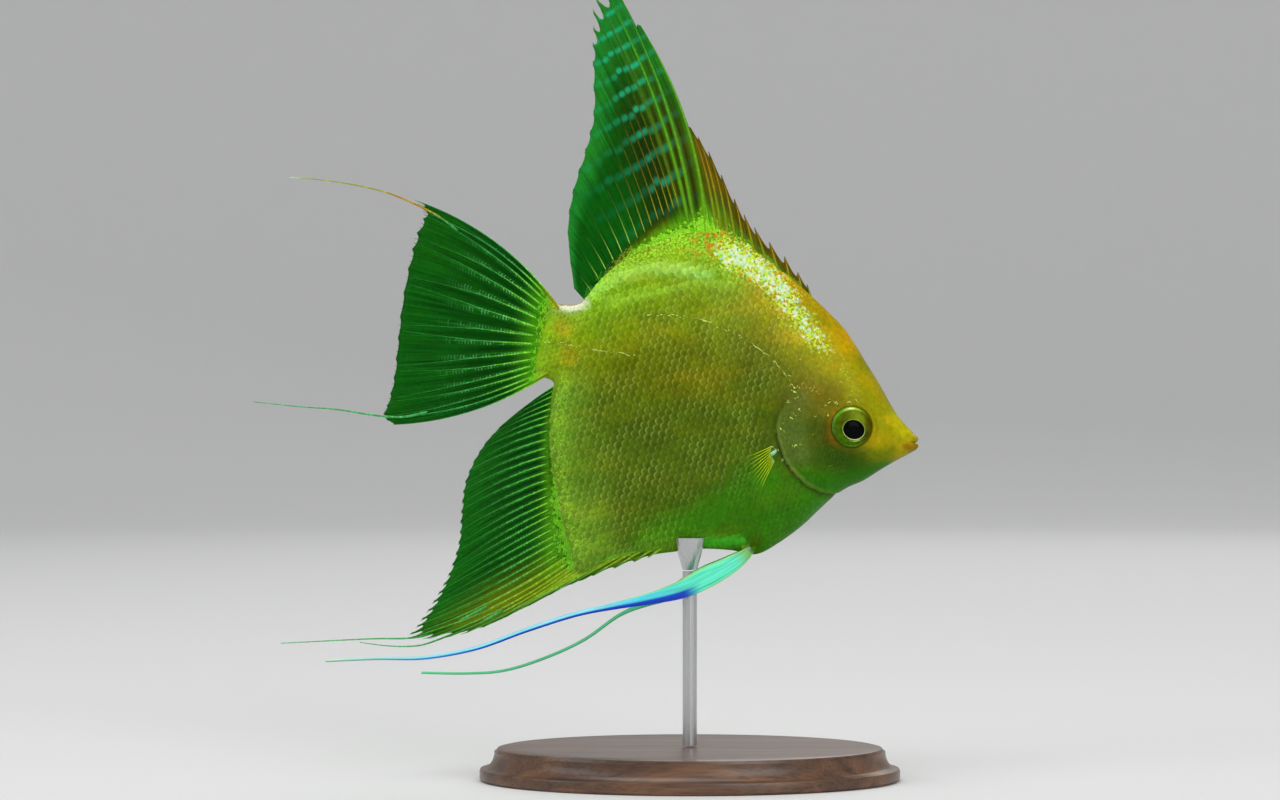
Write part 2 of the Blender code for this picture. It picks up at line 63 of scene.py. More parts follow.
def fill(tree, made, inputs):
    """Set a node's inputs to values, or link them to the outputs given."""
    for name, value in inputs.items():
        if isinstance(value, bpy.types.NodeSocket):
            tree.links.new(value, made.inputs[name])
        else:
            made.inputs[name].default_value = value


def new_primitive(name, add, **sizes):
    """A primitive on its own, named and selected."""
    bpy.ops.object.select_all(action='DESELECT')
    add(**sizes)
    piece = bpy.context.object
    piece.name = piece.data.name = name
    return piece


def new_material(name):
    """An empty material, its node tree and its Principled shader."""
    material = bpy.data.materials.new(name)
    material.use_nodes = True
    return material, material.node_tree, material.node_tree.nodes["Principled BSDF"]


def make_floor():
    floor = new_primitive("studio_floor", bpy.ops.mesh.primitive_circle_add, vertices=128,
                          radius=FLOOR_RADIUS, fill_type='NGON')
    bpy.ops.object.mode_set(mode='EDIT')
    bpy.ops.mesh.select_mode(type='EDGE')
    bpy.ops.mesh.region_to_loop()
    radius, height = FLOOR_RADIUS, 0.0
    for step in range(1, SWEEP_STEPS + 1):
        turn = 0.5 * math.pi * step / SWEEP_STEPS
        wider = FLOOR_RADIUS + SWEEP_RADIUS * math.sin(turn)
        higher = SWEEP_RADIUS * (1 - math.cos(turn))
        bpy.ops.mesh.extrude_region_move(TRANSFORM_OT_translate={"value": (0, 0, higher - height)})
        bpy.ops.transform.resize(value=(wider / radius, wider / radius, 1))
        radius, height = wider, higher
    bpy.ops.mesh.extrude_region_move(TRANSFORM_OT_translate={"value": (0, 0, WALL_HEIGHT)})
    bpy.ops.object.mode_set(mode='OBJECT')
    bpy.ops.object.shade_smooth()
    material, tree, shader = new_material("pale_floor")
    fill(tree, shader, {"Base Color": (0.80, 0.80, 0.79, 1.0), "Roughness": 0.85})
    floor.data.materials.append(material)


def softbox(name, place, aim, size, power):
    bpy.ops.object.light_add(type='AREA', location=place)
    lamp = bpy.context.object
    lamp.name = name
    lamp.rotation_euler = (Vector(aim) - Vector(place)).to_track_quat('-Z', 'Y').to_euler()
    lamp.data.size = size
    lamp.data.energy = power
    lamp.visible_camera = False


make_floor()
softbox("lamp_top", (-0.15, -0.25, 1.10), (0.0, 0.0, 0.08), 0.80, 5.4)
softbox("lamp_front", (0.55, -1.05, 0.55), (0.0, 0.0, 0.07), 0.70, 4.4)
softbox("lamp_left", (-0.95, -0.55, 0.60), (0.0, 0.0, 0.07), 0.60, 2.4)
softbox("lamp_back", (0.30, 1.05, 0.80), (0.0, 0.0, 0.08), 0.70, 2.6)

world = bpy.data.worlds.new("studio_air")
world.use_nodes = True
fill(world.node_tree, world.node_tree.nodes["Background"],
     {"Color": (0.95, 0.97, 1.0, 1.0), "Strength": 0.40})
bpy.context.scene.world = world
bpy.context.scene.view_settings.view_transform = "Standard"

bpy.ops.object.camera_add(location=CAMERA_PLACE, rotation=(math.radians(90), 0, 0))
camera = bpy.context.object
camera.data.lens = CAMERA_LENS
camera.data.sensor_width = 36.0
bpy.context.scene.camera = camera


# ---------------------------------------------------------------------------------------
# The skin: one smooth hide over head, jaws, gill covers, trunk and tail stalk. It is a grid
# wrapped on the body's ribs, sunk by the depth of the scales, with the folds of lips, jaw,
# gill cover and nostril pushed in and out of it.
STANDARD_LENGTH = 0.070
MM = 0.001 / STANDARD_LENGTH      # one millimetre in standard lengths
NOSE_DOWN = math.radians(15.2)
TAIL_ROOT = Vector((-0.0257, 0.0, 0.0794))
TO_MODEL = (Matrix.Translation(TAIL_ROOT) @ Matrix.Rotation(NOSE_DOWN, 4, 'Y')
            @ Matrix.Scale(STANDARD_LENGTH, 4))
COAT = 0.10 * MM                  # depth of the scales over the skin

# Ribs from tail to snout: (x, z) on the back, (x, z) on the belly, half width, how far down
# the rib is widest, and how sharply it thins to its two edges.
RIBS = [
    (-0.010, 0.098, -0.010, -0.096, 0.016, 0.50, 0.80),
    (0.030, 0.106, 0.040, -0.099, 0.024, 0.50, 0.80),
    (0.058, 0.122, 0.044, -0.135, 0.029, 0.46, 0.85),
    (0.090, 0.195, 0.054, -0.190, 0.034, 0.44, 0.90),
    (0.130, 0.262, 0.069, -0.255, 0.040, 0.44, 0.95),
    (0.180, 0.320, 0.090, -0.325, 0.047, 0.44, 1.00),
    (0.235, 0.362, 0.122, -0.400, 0.054, 0.44, 1.00),
    (0.290, 0.393, 0.172, -0.500, 0.061, 0.43, 1.00),
    (0.340, 0.405, 0.232, -0.580, 0.067, 0.43, 1.00),
    (0.390, 0.398, 0.305, -0.518, 0.072, 0.44, 0.95),
    (0.440, 0.379, 0.375, -0.478, 0.076, 0.46, 0.90),
    (0.500, 0.352, 0.450, -0.445, 0.080, 0.48, 0.85),
    (0.560, 0.325, 0.530, -0.414, 0.083, 0.50, 0.80),
    (0.620, 0.296, 0.600, -0.399, 0.086, 0.52, 0.75),
    (0.680, 0.264, 0.665, -0.392, 0.087, 0.52, 0.70),
    (0.730, 0.234, 0.715, -0.347, 0.086, 0.52, 0.66),
    (0.775, 0.196, 0.765, -0.283, 0.082, 0.50, 0.62),
    (0.812, 0.160, 0.812, -0.206, 0.076, 0.48, 0.60),
    (0.848, 0.127, 0.846, -0.166, 0.068, 0.48, 0.60),
    (0.884, 0.091, 0.884, -0.134, 0.057, 0.48, 0.60),
    (0.919, 0.056, 0.920, -0.095, 0.045, 0.50, 0.60),
    (0.950, 0.0345, 0.952, -0.063, 0.033, 0.50, 0.60),
    (0.967, 0.025, 0.977, -0.039, 0.024, 0.50, 0.60),
    (0.978, 0.0175, 0.990, -0.026, 0.016, 0.50, 0.60),
]
COLUMNS_PER_RIB = 12
CAP_COLUMNS = 8                   # columns that round off each end
SKIN_COLUMNS = 2 * CAP_COLUMNS + (len(RIBS) - 1) * COLUMNS_PER_RIB
SKIN_ROWS = 150                   # rows on each side
TAIL_CAP, SNOUT_CAP = 0.010, 0.007

EYE_X, EYE_Z, EYE_RADIUS = 0.814, -0.009, 0.0540
GILL_EDGE = [(0.668, 0.090), (0.648, 0.052), (0.632, 0.010), (0.623, -0.035), (0.627, -0.066),
             (0.644, -0.100), (0.663, -0.130), (0.685, -0.152), (0.712, -0.170),
             (0.745, -0.185), (0.785, -0.193), (0.822, -0.187), (0.845, -0.168)]
CHEEK_EDGE = [(0.694, 0.060), (0.706, 0.020), (0.716, -0.030), (0.730, -0.080), (0.755, -0.124),
              (0.792, -0.148), (0.835, -0.140)]
MOUTH_LINE = [(0.949, -0.012), (0.964, -0.009), (0.979, -0.005), (1.010, -0.003)]
JAW_FOLD = [(0.951, -0.010), (0.940, -0.026), (0.924, -0.046), (0.900, -0.062), (0.872, -0.070)]
LIP_FOLD = [(0.951, -0.012), (0.944, 0.002), (0.936, 0.014), (0.922, 0.022)]
PITS = [(0.895, 0.028, 1.3), (0.782, -0.120, 0.9), (0.905, 0.006, 0.6), (0.872, 0.062, 0.6),
        (0.858, -0.082, 0.6), (0.822, -0.092, 0.6), (0.742, 0.020, 0.6), (0.762, 0.066, 0.6)]
PECTORAL_X, PECTORAL_Z = 0.637, -0.128


def curve_at(rows, place):
    """A smooth curve through rows of numbers, read at a place counted in rows."""
    last = len(rows) - 1
    i = max(0, min(int(place), last - 1))
    t = place - i
    before, start, end, after = (rows[max(i - 1, 0)], rows[i], rows[i + 1],
                                 rows[min(i + 2, last)])
    return tuple(0.5 * (2 * b + (c - a) * t + (2 * a - 5 * b + 4 * c - d) * t ** 2
                        + (3 * b - a - 3 * c + d) * t ** 3)
                 for a, b, c, d in zip(before, start, end, after))


def ease(low, high, value):
    """0 below low, 1 above high and smooth between them. High may lie below low."""
    part = max(0.0, min(1.0, (value - low) / (high - low)))
    return part * part * (3 - 2 * part)


def bell(distance, width):
    return math.exp(-(distance / width) ** 2)


def nearest(line, x, z):
    """The distance from a line of (x, z) points, the side of it, and the part of its run."""
    best, side, part = 1e9, 1.0, 0.0
    for i, ((x0, z0), (x1, z1)) in enumerate(zip(line, line[1:])):
        run, rise = x1 - x0, z1 - z0
        t = ((x - x0) * run + (z - z0) * rise) / (run * run + rise * rise)
        t = max(0.0, min(1.0, t))
        dx, dz = x - x0 - run * t, z - z0 - rise * t
        distance = dx * dx + dz * dz
        if distance < best:
            best, side, part = distance, run * dz - rise * dx, (i + t) / (len(line) - 1)
    return math.sqrt(best), side, part


def smooth_line(points, steps):
    count = (len(points) - 1) * steps
    return [curve_at(points, i / steps) for i in range(count + 1)]


GILL_EDGE, CHEEK_EDGE, MOUTH_LINE, JAW_FOLD, LIP_FOLD = (
    smooth_line(line, 3) for line in (GILL_EDGE, CHEEK_EDGE, MOUTH_LINE, JAW_FOLD, LIP_FOLD))


def head_relief(x, z):
    """How far the skin of the head stands out of the plain body, in millimetres."""
    height = 0.0
    if x < 0.88 and z < 0.12:
        distance, side, part = nearest(GILL_EDGE, x, z)
        if distance < 0.08:
            shown = ease(0.0, 0.16, part) * ease(1.0, 0.90, part)
            if side > 0:
                raised = shown * (0.34 - 0.16 * ease(0.4, 0.8, part))
                height += raised * ease(0.0, 0.0045, distance) * math.exp(-distance / 0.030)
                height -= shown * 0.10 * bell(distance - 0.016, 0.006)
            else:
                height -= shown * 0.30 * bell(distance, 0.007)
        distance, side, part = nearest(CHEEK_EDGE, x, z)
        shown = ease(0.2, 0.6, part) * ease(1.0, 0.8, part)
        height += shown * (0.04 * bell(distance - 0.010, 0.008) if side > 0 else 0.0)
        height -= shown * 0.05 * bell(distance, 0.0060)
        lobe = math.hypot((x - PECTORAL_X + 0.004) / 0.011, (z - PECTORAL_Z) / 0.019)
        height += 0.42 * math.exp(-lobe ** 4)
    around = math.hypot(x - EYE_X, z - EYE_Z)
    if around < EYE_RADIUS + 0.05:
        height -= 1.30 * ease(EYE_RADIUS + 0.0015, EYE_RADIUS - 0.006, around)
        height += 0.16 * bell(around - EYE_RADIUS - 0.0045, 0.0038)
        height -= 0.07 * bell(around - EYE_RADIUS - 0.016, 0.006)
    for pit_x, pit_z, size in PITS:
        around = math.hypot(x - pit_x, z - pit_z)
        if around < 0.02:
            height -= 0.26 * size * bell(around, 0.0032 * size)
            height += 0.06 * size * bell(around - 0.0060 * size, 0.0028)
    if x > 0.86:
        distance, side, part = nearest(MOUTH_LINE, x, z)
        shown = ease(0.30, 0.75, part)
        roll, width = (0.0110, 0.0075) if side > 0 else (0.0085, 0.0065)
        height += shown * 0.32 * bell(distance - roll, width)
        height -= shown * 0.10 * bell(distance - 0.0225, 0.0040) if side > 0 else 0.0
        height -= (0.12 + 0.88 * ease(0.55, 0.80, part)) * 0.46 * bell(distance, 0.0022)
        distance, side, part = nearest(JAW_FOLD, x, z)
        height -= 0.10 * bell(distance, 0.0040) * ease(1.0, 0.5, part)
        height += 0.06 * bell(distance - 0.010, 0.006) * ease(1.0, 0.5, part)
        distance, side, part = nearest(LIP_FOLD, x, z)
        height -= 0.09 * bell(distance, 0.0035) * ease(1.0, 0.6, part)
    return height


# The airbrushed colours of the flesh, as (line of places, reach across it, colour, cover).
# Later ones go over earlier ones. A single place is a round dab. The last one is the white
# saddle over the tail stalk.
FLANK_GREEN = (0.071, 0.117, 0.002)
AIRBRUSH = [
    ([(0.42, 0.06), (0.24, 0.01), (0.10, -0.01)], 0.10, (0.145, 0.165, 0.001), 0.85),
    ([(0.06, -0.14), (0.10, -0.24), (0.19, -0.38), (0.25, -0.50)], 0.085,
     (0.150, 0.320, 0.016), 0.9),
    ([(0.50, -0.20), (0.34, -0.32), (0.22, -0.26)], 0.12, (0.080, 0.148, 0.004), 0.6),
    ([(0.62, 0.10), (0.50, 0.17), (0.36, 0.18)], 0.075, (0.130, 0.142, 0.001), 0.8),
    ([(0.10, 0.05), (0.20, 0.13), (0.32, 0.19), (0.42, 0.21)], 0.092, (0.205, 0.290, 0.003), 0.80),
    ([(0.09, 0.12), (0.17, 0.22), (0.27, 0.30), (0.36, 0.32), (0.43, 0.31)], 0.080,
     (0.175, 0.335, 0.003), 0.96),
    ([(0.075, 0.150), (0.135, 0.208), (0.200, 0.248), (0.276, 0.268), (0.356, 0.272)], 0.016,
     (0.350, 0.700, 0.130), 0.66),
    ([(0.121, 0.130), (0.227, 0.192), (0.327, 0.240), (0.419, 0.262)], 0.013,
     (0.310, 0.530, 0.030), 0.55),
    ([(0.02, 0.04), (0.03, -0.05)], 0.060, (0.235, 0.345, 0.004), 0.95),
    ([(-0.02, 0.05), (-0.01, -0.05)], 0.034, (0.230, 0.470, 0.008), 0.9),
    ([(0.020, 0.050), (0.038, 0.040)], 0.018, (0.360, 0.290, 0.003), 0.60),
    ([(0.060, -0.015), (0.075, -0.030)], 0.018, (0.300, 0.250, 0.003), 0.55),
    ([(0.66, -0.34), (0.74, -0.26), (0.80, -0.19)], 0.075, (0.020, 0.196, 0.001), 0.95),
    ([(0.64, -0.20), (0.52, -0.34), (0.40, -0.44)], 0.060, (0.030, 0.240, 0.002), 0.8),
    ([(0.60, -0.38), (0.42, -0.44), (0.30, -0.50)], 0.026, (0.100, 0.240, 0.010), 0.6),
    ([(0.620, -0.366), (0.565, -0.384), (0.510, -0.400)], 0.015, (0.045, 0.520, 0.026), 0.85),
    ([(0.655, -0.360)], 0.020, (0.050, 0.115, 0.001), 0.7),
    # A painted glint: a small pale dab over the root of the pelvic fins.
    ([(0.630, -0.383), (0.650, -0.382)], 0.0065, (0.420, 0.480, 0.030), 0.85),
    ([(0.52, 0.28), (0.62, 0.22), (0.72, 0.15), (0.82, 0.08), (0.90, 0.03)], 0.085,
     (0.360, 0.320, 0.001), 0.97),
    ([(0.88, 0.00), (0.94, -0.02)], 0.050, (0.385, 0.345, 0.001), 0.95),
    ([(0.912, 0.036), (0.940, 0.018), (0.962, 0.008)], 0.021, (0.640, 0.520, 0.002), 0.70),
    ([(0.54, 0.335), (0.63, 0.30), (0.71, 0.26), (0.77, 0.21)], 0.046,
     (0.500, 0.310, 0.001), 0.90),
    ([(0.68, 0.055), (0.74, 0.055)], 0.042, (0.185, 0.135, 0.001), 0.85),
    ([(0.76, -0.07), (0.84, -0.105)], 0.052, (0.022, 0.080, 0.001), 0.92),
    ([(0.755, -0.030), (0.765, -0.055)], 0.024, (0.045, 0.046, 0.001), 0.75),
    ([(0.66, 0.02), (0.67, -0.06), (0.70, -0.11)], 0.036, (0.096, 0.152, 0.022), 0.80),
    # Painted shade: a darker strip along the groove at the front of the gill cover.
    ([(0.72, -0.02), (0.73, -0.07)], 0.022, (0.055, 0.085, 0.003), 0.6),
    ([(0.72, -0.165), (0.78, -0.172), (0.84, -0.148), (0.90, -0.116), (0.93, -0.092)], 0.028,
     (0.016, 0.155, 0.001), 0.94),
    ([(0.89, -0.062), (0.93, -0.045)], 0.016, (0.120, 0.185, 0.001), 0.7),
    ([(0.966, -0.021), (0.988, -0.014)], 0.0125, (0.300, 0.150, 0.001), 0.9),
    ([(0.962, 0.006), (0.986, 0.010)], 0.010, (0.400, 0.290, 0.002), 0.8),
    ([(-0.004, 0.096), (0.036, 0.099), (0.066, 0.118)], 0.013, (0.800, 0.780, 0.560), 1.0),
]
ORANGE_RIDGE = (0.520, 0.230, 0.002)
# Painted shadow and painted highlight along the gill cover's edge.
GILL_SHADOW, GILL_HIGHLIGHT = (0.030, 0.040, 0.004), (0.260, 0.360, 0.070)
FROST_LINE = [(0.400, 0.342), (0.455, 0.332), (0.517, 0.305), (0.561, 0.272), (0.605, 0.231),
              (0.655, 0.191), (0.715, 0.160), (0.760, 0.120), (0.790, 0.085)]
REAR_EDGE = [(0.070, -0.090), (0.085, -0.190), (0.120, -0.310), (0.175, -0.420), (0.230, -0.500)]
LATERAL_UPPER = smooth_line([(0.235, 0.131), (0.325, 0.152), (0.373, 0.155), (0.423, 0.147),
                             (0.494, 0.134), (0.548, 0.114), (0.591, 0.091), (0.643, 0.048)], 2)
LATERAL_REAR = smooth_line([(-0.010, -0.005), (0.037, 0.002), (0.110, 0.008), (0.165, 0.013),
                            (0.237, 0.023)], 2)
AIRBRUSH_BOXES = []
for sprayed, reach, _, _ in AIRBRUSH:
    xs, zs = zip(*sprayed)
    AIRBRUSH_BOXES.append((min(xs) - 2.2 * reach, max(xs) + 2.2 * reach,
                           min(zs) - 2.2 * reach, max(zs) + 2.2 * reach))


def mixed(first, second, part):
    return tuple(a + (b - a) * part for a, b in zip(first, second))


def glazed(colour, *glazes):
    """A colour under glazes, each a colour and the part that it covers."""
    for glaze, part in glazes:
        colour = mixed(colour, glaze, part)
    return colour


def flesh_paint(x, z, top):
    """The colour at a place on the flesh, `top` below the back, and its marks.

    The marks are frost (white and sky-blue sprinkles, partly a painted sparkle of light on the
    nape), grain (bright gold-green grains) and flecks (orange spots), each from 0 to 1.
    """
    colour = FLANK_GREEN
    for (line, reach, spray, cover), bound in zip(AIRBRUSH, AIRBRUSH_BOXES):
        if not (bound[0] < x < bound[1] and bound[2] < z < bound[3]):
            continue
        if len(line) > 1:
            distance = nearest(line, x, z)[0]
        else:
            distance = math.hypot(x - line[0][0], z - line[0][1])
        colour = mixed(colour, spray, cover * math.exp(-(distance / reach) ** 2.6))
    around = math.hypot(x - EYE_X, z - EYE_Z)
    if around < 0.12:
        rear = 0.35 + 0.65 * ease(0.02, -0.05, x - EYE_X)
        colour = mixed(colour, (0.250, 0.130, 0.002), 0.45 * rear * bell(around - 0.062, 0.008))
    # Along the gill cover's edge: a painted shadow on the body behind it and a painted highlight
    # along its raised rim.
    if 0.58 < x < 0.86 and z < 0.1:
        distance, side, part = nearest(GILL_EDGE, x, z)
        shadow = 0.95 * bell(distance, 0.008) * ease(0.1, 0.4, part)
        light = 0.42 * bell(distance - 0.005, 0.005) * ease(0.15, 0.35, part) * ease(1.0, 0.6, part)
        colour = mixed(colour, *((GILL_SHADOW, shadow) if side < 0 else (GILL_HIGHLIGHT, light)))
    if x < 0.10:
        colour = mixed(colour, ORANGE_RIDGE,
                       0.9 * ease(0.007, 0.001, top) * ease(0.1, 0.05, x) * ease(0.06, 0.09, z))
    # Frost: pale sprinkles along the nape, partly the fish's own and partly a painted sparkle where
    # light from above catches it.
    frost_distance, _, frost_part = nearest(FROST_LINE, x, z)
    frost = math.exp(-(frost_distance / (0.042 - 0.014 * frost_part)) ** 2)
    frost *= 1.0 - 0.30 * ease(0.0, 0.6, frost_part) - 0.52 * ease(0.62, 0.80, frost_part)
    grain = ease(0.20, 0.06, top) * ease(0.58, 0.42, x) * ease(0.03, 0.09, x)
    grain = max(grain, 0.5 * ease(0.11, 0.06, top) * ease(0.80, 0.6, x))
    if z < 0:
        grain = max(grain, 0.75 * bell(nearest(REAR_EDGE, x, z)[0], 0.036))
    flecks = ease(0.18, 0.06, top) * ease(0.14, 0.34, x) * ease(0.70, 0.58, x)
    flecks = max(0.9 * flecks, 0.52 * ease(0.20, 0.1, abs(z)) * ease(0.26, 0.06, x))
    return colour, (frost, grain, flecks)


def set_colours(mesh, **layers):
    """Colour layers with an (r, g, b) for each point."""
    for name, values in layers.items():
        layer = mesh.color_attributes.new(name, 'FLOAT_COLOR', 'POINT')
        layer.data.foreach_set("color", [part for value in values for part in (*value, 1.0)])


def rib_at(u, v):
    """The rib under a place of the grid, its height, and how far down and past it the place is."""
    column = u * SKIN_COLUMNS - CAP_COLUMNS
    place = max(0.0, min(len(RIBS) - 1, column / COLUMNS_PER_RIB))
    beyond = (column - place * COLUMNS_PER_RIB) / CAP_COLUMNS
    rib = curve_at(RIBS, place)
    step = 1 - abs(2 * v - 1)
    down = 0.1 * step + 0.9 * (0.5 - 0.5 * math.cos(math.pi * step))
    return rib, math.hypot(rib[2] - rib[0], rib[3] - rib[1]), down, beyond


def skin_place(u, v):
    """The point of the plain body at (u, v) of the grid, and how far below the back it is."""
    rib, height, down, beyond = rib_at(u, v)
    back_x, back_z, belly_x, belly_z, half_width, widest, edge = rib
    reach = (down - widest) / (widest if down < widest else 1 - widest)
    y = half_width * max(0.0, 1 - reach * reach) ** edge
    x = back_x + (belly_x - back_x) * down
    z = back_z + (belly_z - back_z) * down
    if beyond:
        turn = min(1.0, abs(beyond)) * 0.5 * math.pi
        middle_x, middle_z = (back_x + belly_x) / 2, (back_z + belly_z) / 2
        close = math.cos(turn)
        bulge = (SNOUT_CAP if beyond > 0 else -TAIL_CAP) * math.sin(turn)
        x, z = middle_x + (x - middle_x) * close + bulge, middle_z + (z - middle_z) * close
        y *= close
    return Vector((x, -y if v < 0.5 else y, z)), down * height


def select(obj):
    bpy.ops.object.select_all(action='DESELECT')
    bpy.context.view_layer.objects.active = obj
    obj.select_set(True)


def new_piece(name, verts, faces, edges=()):
    """A mesh of these points and faces as an object, the only one selected."""
    mesh = bpy.data.meshes.new(name)
    mesh.from_pydata(verts, edges, faces)
    piece = bpy.data.objects.new(name, mesh)
    bpy.context.collection.objects.link(piece)
    select(piece)
    return piece


def new_grid(name, columns, rows, map_name):
    """A flat grid with its UV map named, and each point's place as parts of the two sides."""
    piece = new_primitive(name, bpy.ops.mesh.primitive_grid_add, x_subdivisions=columns,
                          y_subdivisions=rows, size=2)
    piece.data.uv_layers[0].name = map_name
    return piece, [((v.co.x + 1) / 2, (v.co.y + 1) / 2) for v in piece.data.vertices]


def lay_uv(mesh, name, places):
    """A UV map with one place for each point of the mesh."""
    layer = mesh.uv_layers.get(name) or mesh.uv_layers.new(name=name)
    for loop, uv in zip(mesh.loops, layer.data):
        uv.uv = places[loop.vertex_index]


def merge_points(obj, distance):
    """Merge the points of an object that lie together, and turn its faces outwards."""
    select(obj)
    bpy.ops.object.mode_set(mode='EDIT')
    bpy.ops.mesh.select_all(action='SELECT')
    bpy.ops.mesh.remove_doubles(threshold=distance)
    bpy.ops.mesh.normals_make_consistent(inside=False)
    bpy.ops.object.mode_set(mode='OBJECT')


def finish_piece(obj, material, slot, *nodes):
    """Take a piece to its place over the stand, give it its material, and hide the solids it stands
    for.
    """
    obj.data.transform(TO_MODEL)
    obj.data.materials.append(material)
    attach(obj, "root")
    if nodes:
        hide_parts(*nodes)


def node(tree, kind, inputs=None, **settings):
    """A shader node with its settings, and with its inputs set or linked."""
    made = tree.nodes.new("ShaderNode" + kind)
    for name, value in settings.items():
        setattr(made, name, value)
    fill(tree, made, inputs or {})
    return made


def maths(tree, operation, *values):
    """The result of one sum or comparison on numbers or outputs."""
    return node(tree, "Math", dict(enumerate(values)), operation=operation).outputs[0]


def product(tree, first, *others):
    """The product of numbers or outputs."""
    for other in others:
        first = maths(tree, 'MULTIPLY', first, other)
    return first


def vector_maths(tree, operation, first, second):
    """The result of one sum on two vectors, or on a vector and a number for SCALE."""
    key = "Scale" if operation == 'SCALE' else 1
    return node(tree, "VectorMath", {0: first, key: second}, operation=operation).outputs[0]


def ranged(tree, value, low=0.0, high=1.0, to_low=0.0, to_high=1.0):
    """A value taken from one range to another, and held at the ends of the second."""
    return node(tree, "MapRange", {"Value": value, "From Min": low, "From Max": high,
                                   "To Min": to_low, "To Max": to_high}).outputs[0]


def blend(tree, part, first, second):
    """A colour between two others."""
    return node(tree, "Mix", {"Factor": part, "A": first, "B": second},
                data_type='RGBA').outputs[2]


def fade(tree, part, first, second):
    """A number between two others."""
    return node(tree, "Mix", {"Factor": part, "A": first, "B": second},
                data_type='FLOAT').outputs[0]


def clouds(tree, place, scale, detail=2.0):
    """Soft noise between 0 and 1."""
    return node(tree, "TexNoise", {"Vector": place, "Scale": scale,
                                   "Detail": detail}).outputs["Fac"]


def object_place(tree):
    return node(tree, "TexCoord").outputs["Object"]


def ripple(tree, height, strength, distance):
    """A bumped normal."""
    return node(tree, "Bump", {"Height": height, "Strength": strength,
                               "Distance": distance}).outputs[0]


def paint_group():
    """The finish of flesh and scales alike: airbrushed colour, mottling, frost and flecks."""
    group = bpy.data.node_groups.new("angelfish_paint", "ShaderNodeTree")
    for way, name, kind in (("INPUT", "Tint", "Color"), ("INPUT", "Marks", "Color"),
                            ("INPUT", "Mottle", "Float"), ("OUTPUT", "Color", "Color"),
                            ("OUTPUT", "Frost", "Float"), ("OUTPUT", "Height", "Float")):
        group.interface.new_socket(name, in_out=way, socket_type="NodeSocket" + kind)
    given = group.nodes.new("NodeGroupInput").outputs
    place = object_place(group)
    frost, grain, flecks = node(group, "SeparateColor", {"Color": given["Marks"]}).outputs

    fine = clouds(group, place, 1500.0, 3.0)
    fine_level = ranged(group, fine, 0.3, 0.7, 0.72, 1.30)
    broad_level = ranged(group, clouds(group, place, 170.0, 4.0), 0.3, 0.7, 0.78, 1.20)
    level = fade(group, given["Mottle"], 1.0, product(group, fine_level, broad_level))
    base = vector_maths(group, 'SCALE', given["Tint"], level)
    drift = node(group, "Mapping", {"Vector": place, "Rotation": (0.0, 0.6, 0.0),
                                    "Scale": (60.0, 200.0, 230.0)}).outputs[0]
    drift = ranged(group, clouds(group, drift, 1.0), 0.48, 0.64, 0.0, 0.8)
    base = blend(group, drift, vector_maths(group, 'MULTIPLY', base, (0.88, 0.97, 1.0)),
                 vector_maths(group, 'MULTIPLY', base, (1.28, 1.05, 0.8)))

    def sprinkle(scale, low, high, mask):
        """Small cells that light up more the higher the mask is."""
        cells = node(group, "TexVoronoi", {"Vector": place, "Scale": scale}).outputs["Color"]
        tone = node(group, "SeparateColor", {"Color": cells}).outputs[0]
        return ranged(group, maths(group, 'ADD', tone, mask), low, high)

    grains = blend(group, sprinkle(3400.0, 1.20, 1.90, grain), base, (0.34, 0.75, 0.030, 1))
    colour = blend(group, grain, base, grains)
    colour = blend(group, sprinkle(1500.0, 1.50, 1.78, flecks), colour, (0.50, 0.250, 0.003, 1))
    # Frost cells: pale sprinkles, partly a painted sparkle of light.
    colour = blend(group, sprinkle(3400.0, 1.02, 1.35, frost), colour, (0.560, 0.820, 0.060, 1))
    frosted = sprinkle(1900.0, 1.22, 1.50, frost)
    hue = ranged(group, clouds(group, place, 900.0), 0.42, 0.60)
    hue = blend(group, hue, (0.46, 0.86, 0.56, 1), (0.86, 0.90, 0.60, 1))
    fill(group, group.nodes.new("NodeGroupOutput"),
         {"Color": blend(group, frosted, colour, hue), "Frost": frosted,
          "Height": maths(group, 'ADD', fine, frosted)})
    return group


PAINT = paint_group()


def point_colour(tree, name):
    return node(tree, "Attribute", attribute_name=name).outputs["Color"]


def painted(tree, mottle):
    """What the paint group makes of a piece's own tint and marks."""
    return node(tree, "Group", {"Tint": point_colour(tree, "tint"), "Mottle": mottle,
                                "Marks": point_colour(tree, "marks")}, node_tree=PAINT).outputs


def skin_material():
    material, tree, shader = new_material("wet_skin")
    paint = painted(tree, 0.55)
    fill(tree, shader, {
        "Base Color": paint["Color"], "Roughness": ranged(tree, paint["Frost"], 0, 1, 0.38, 0.22),
        "Normal": ripple(tree, paint["Height"], 0.25, 0.00006),
        "Specular IOR Level": 0.13, "Specular Tint": (1.0, 0.95, 0.35, 1.0),
        "Coat Weight": 0.03, "Coat Roughness": 0.12})
    return material


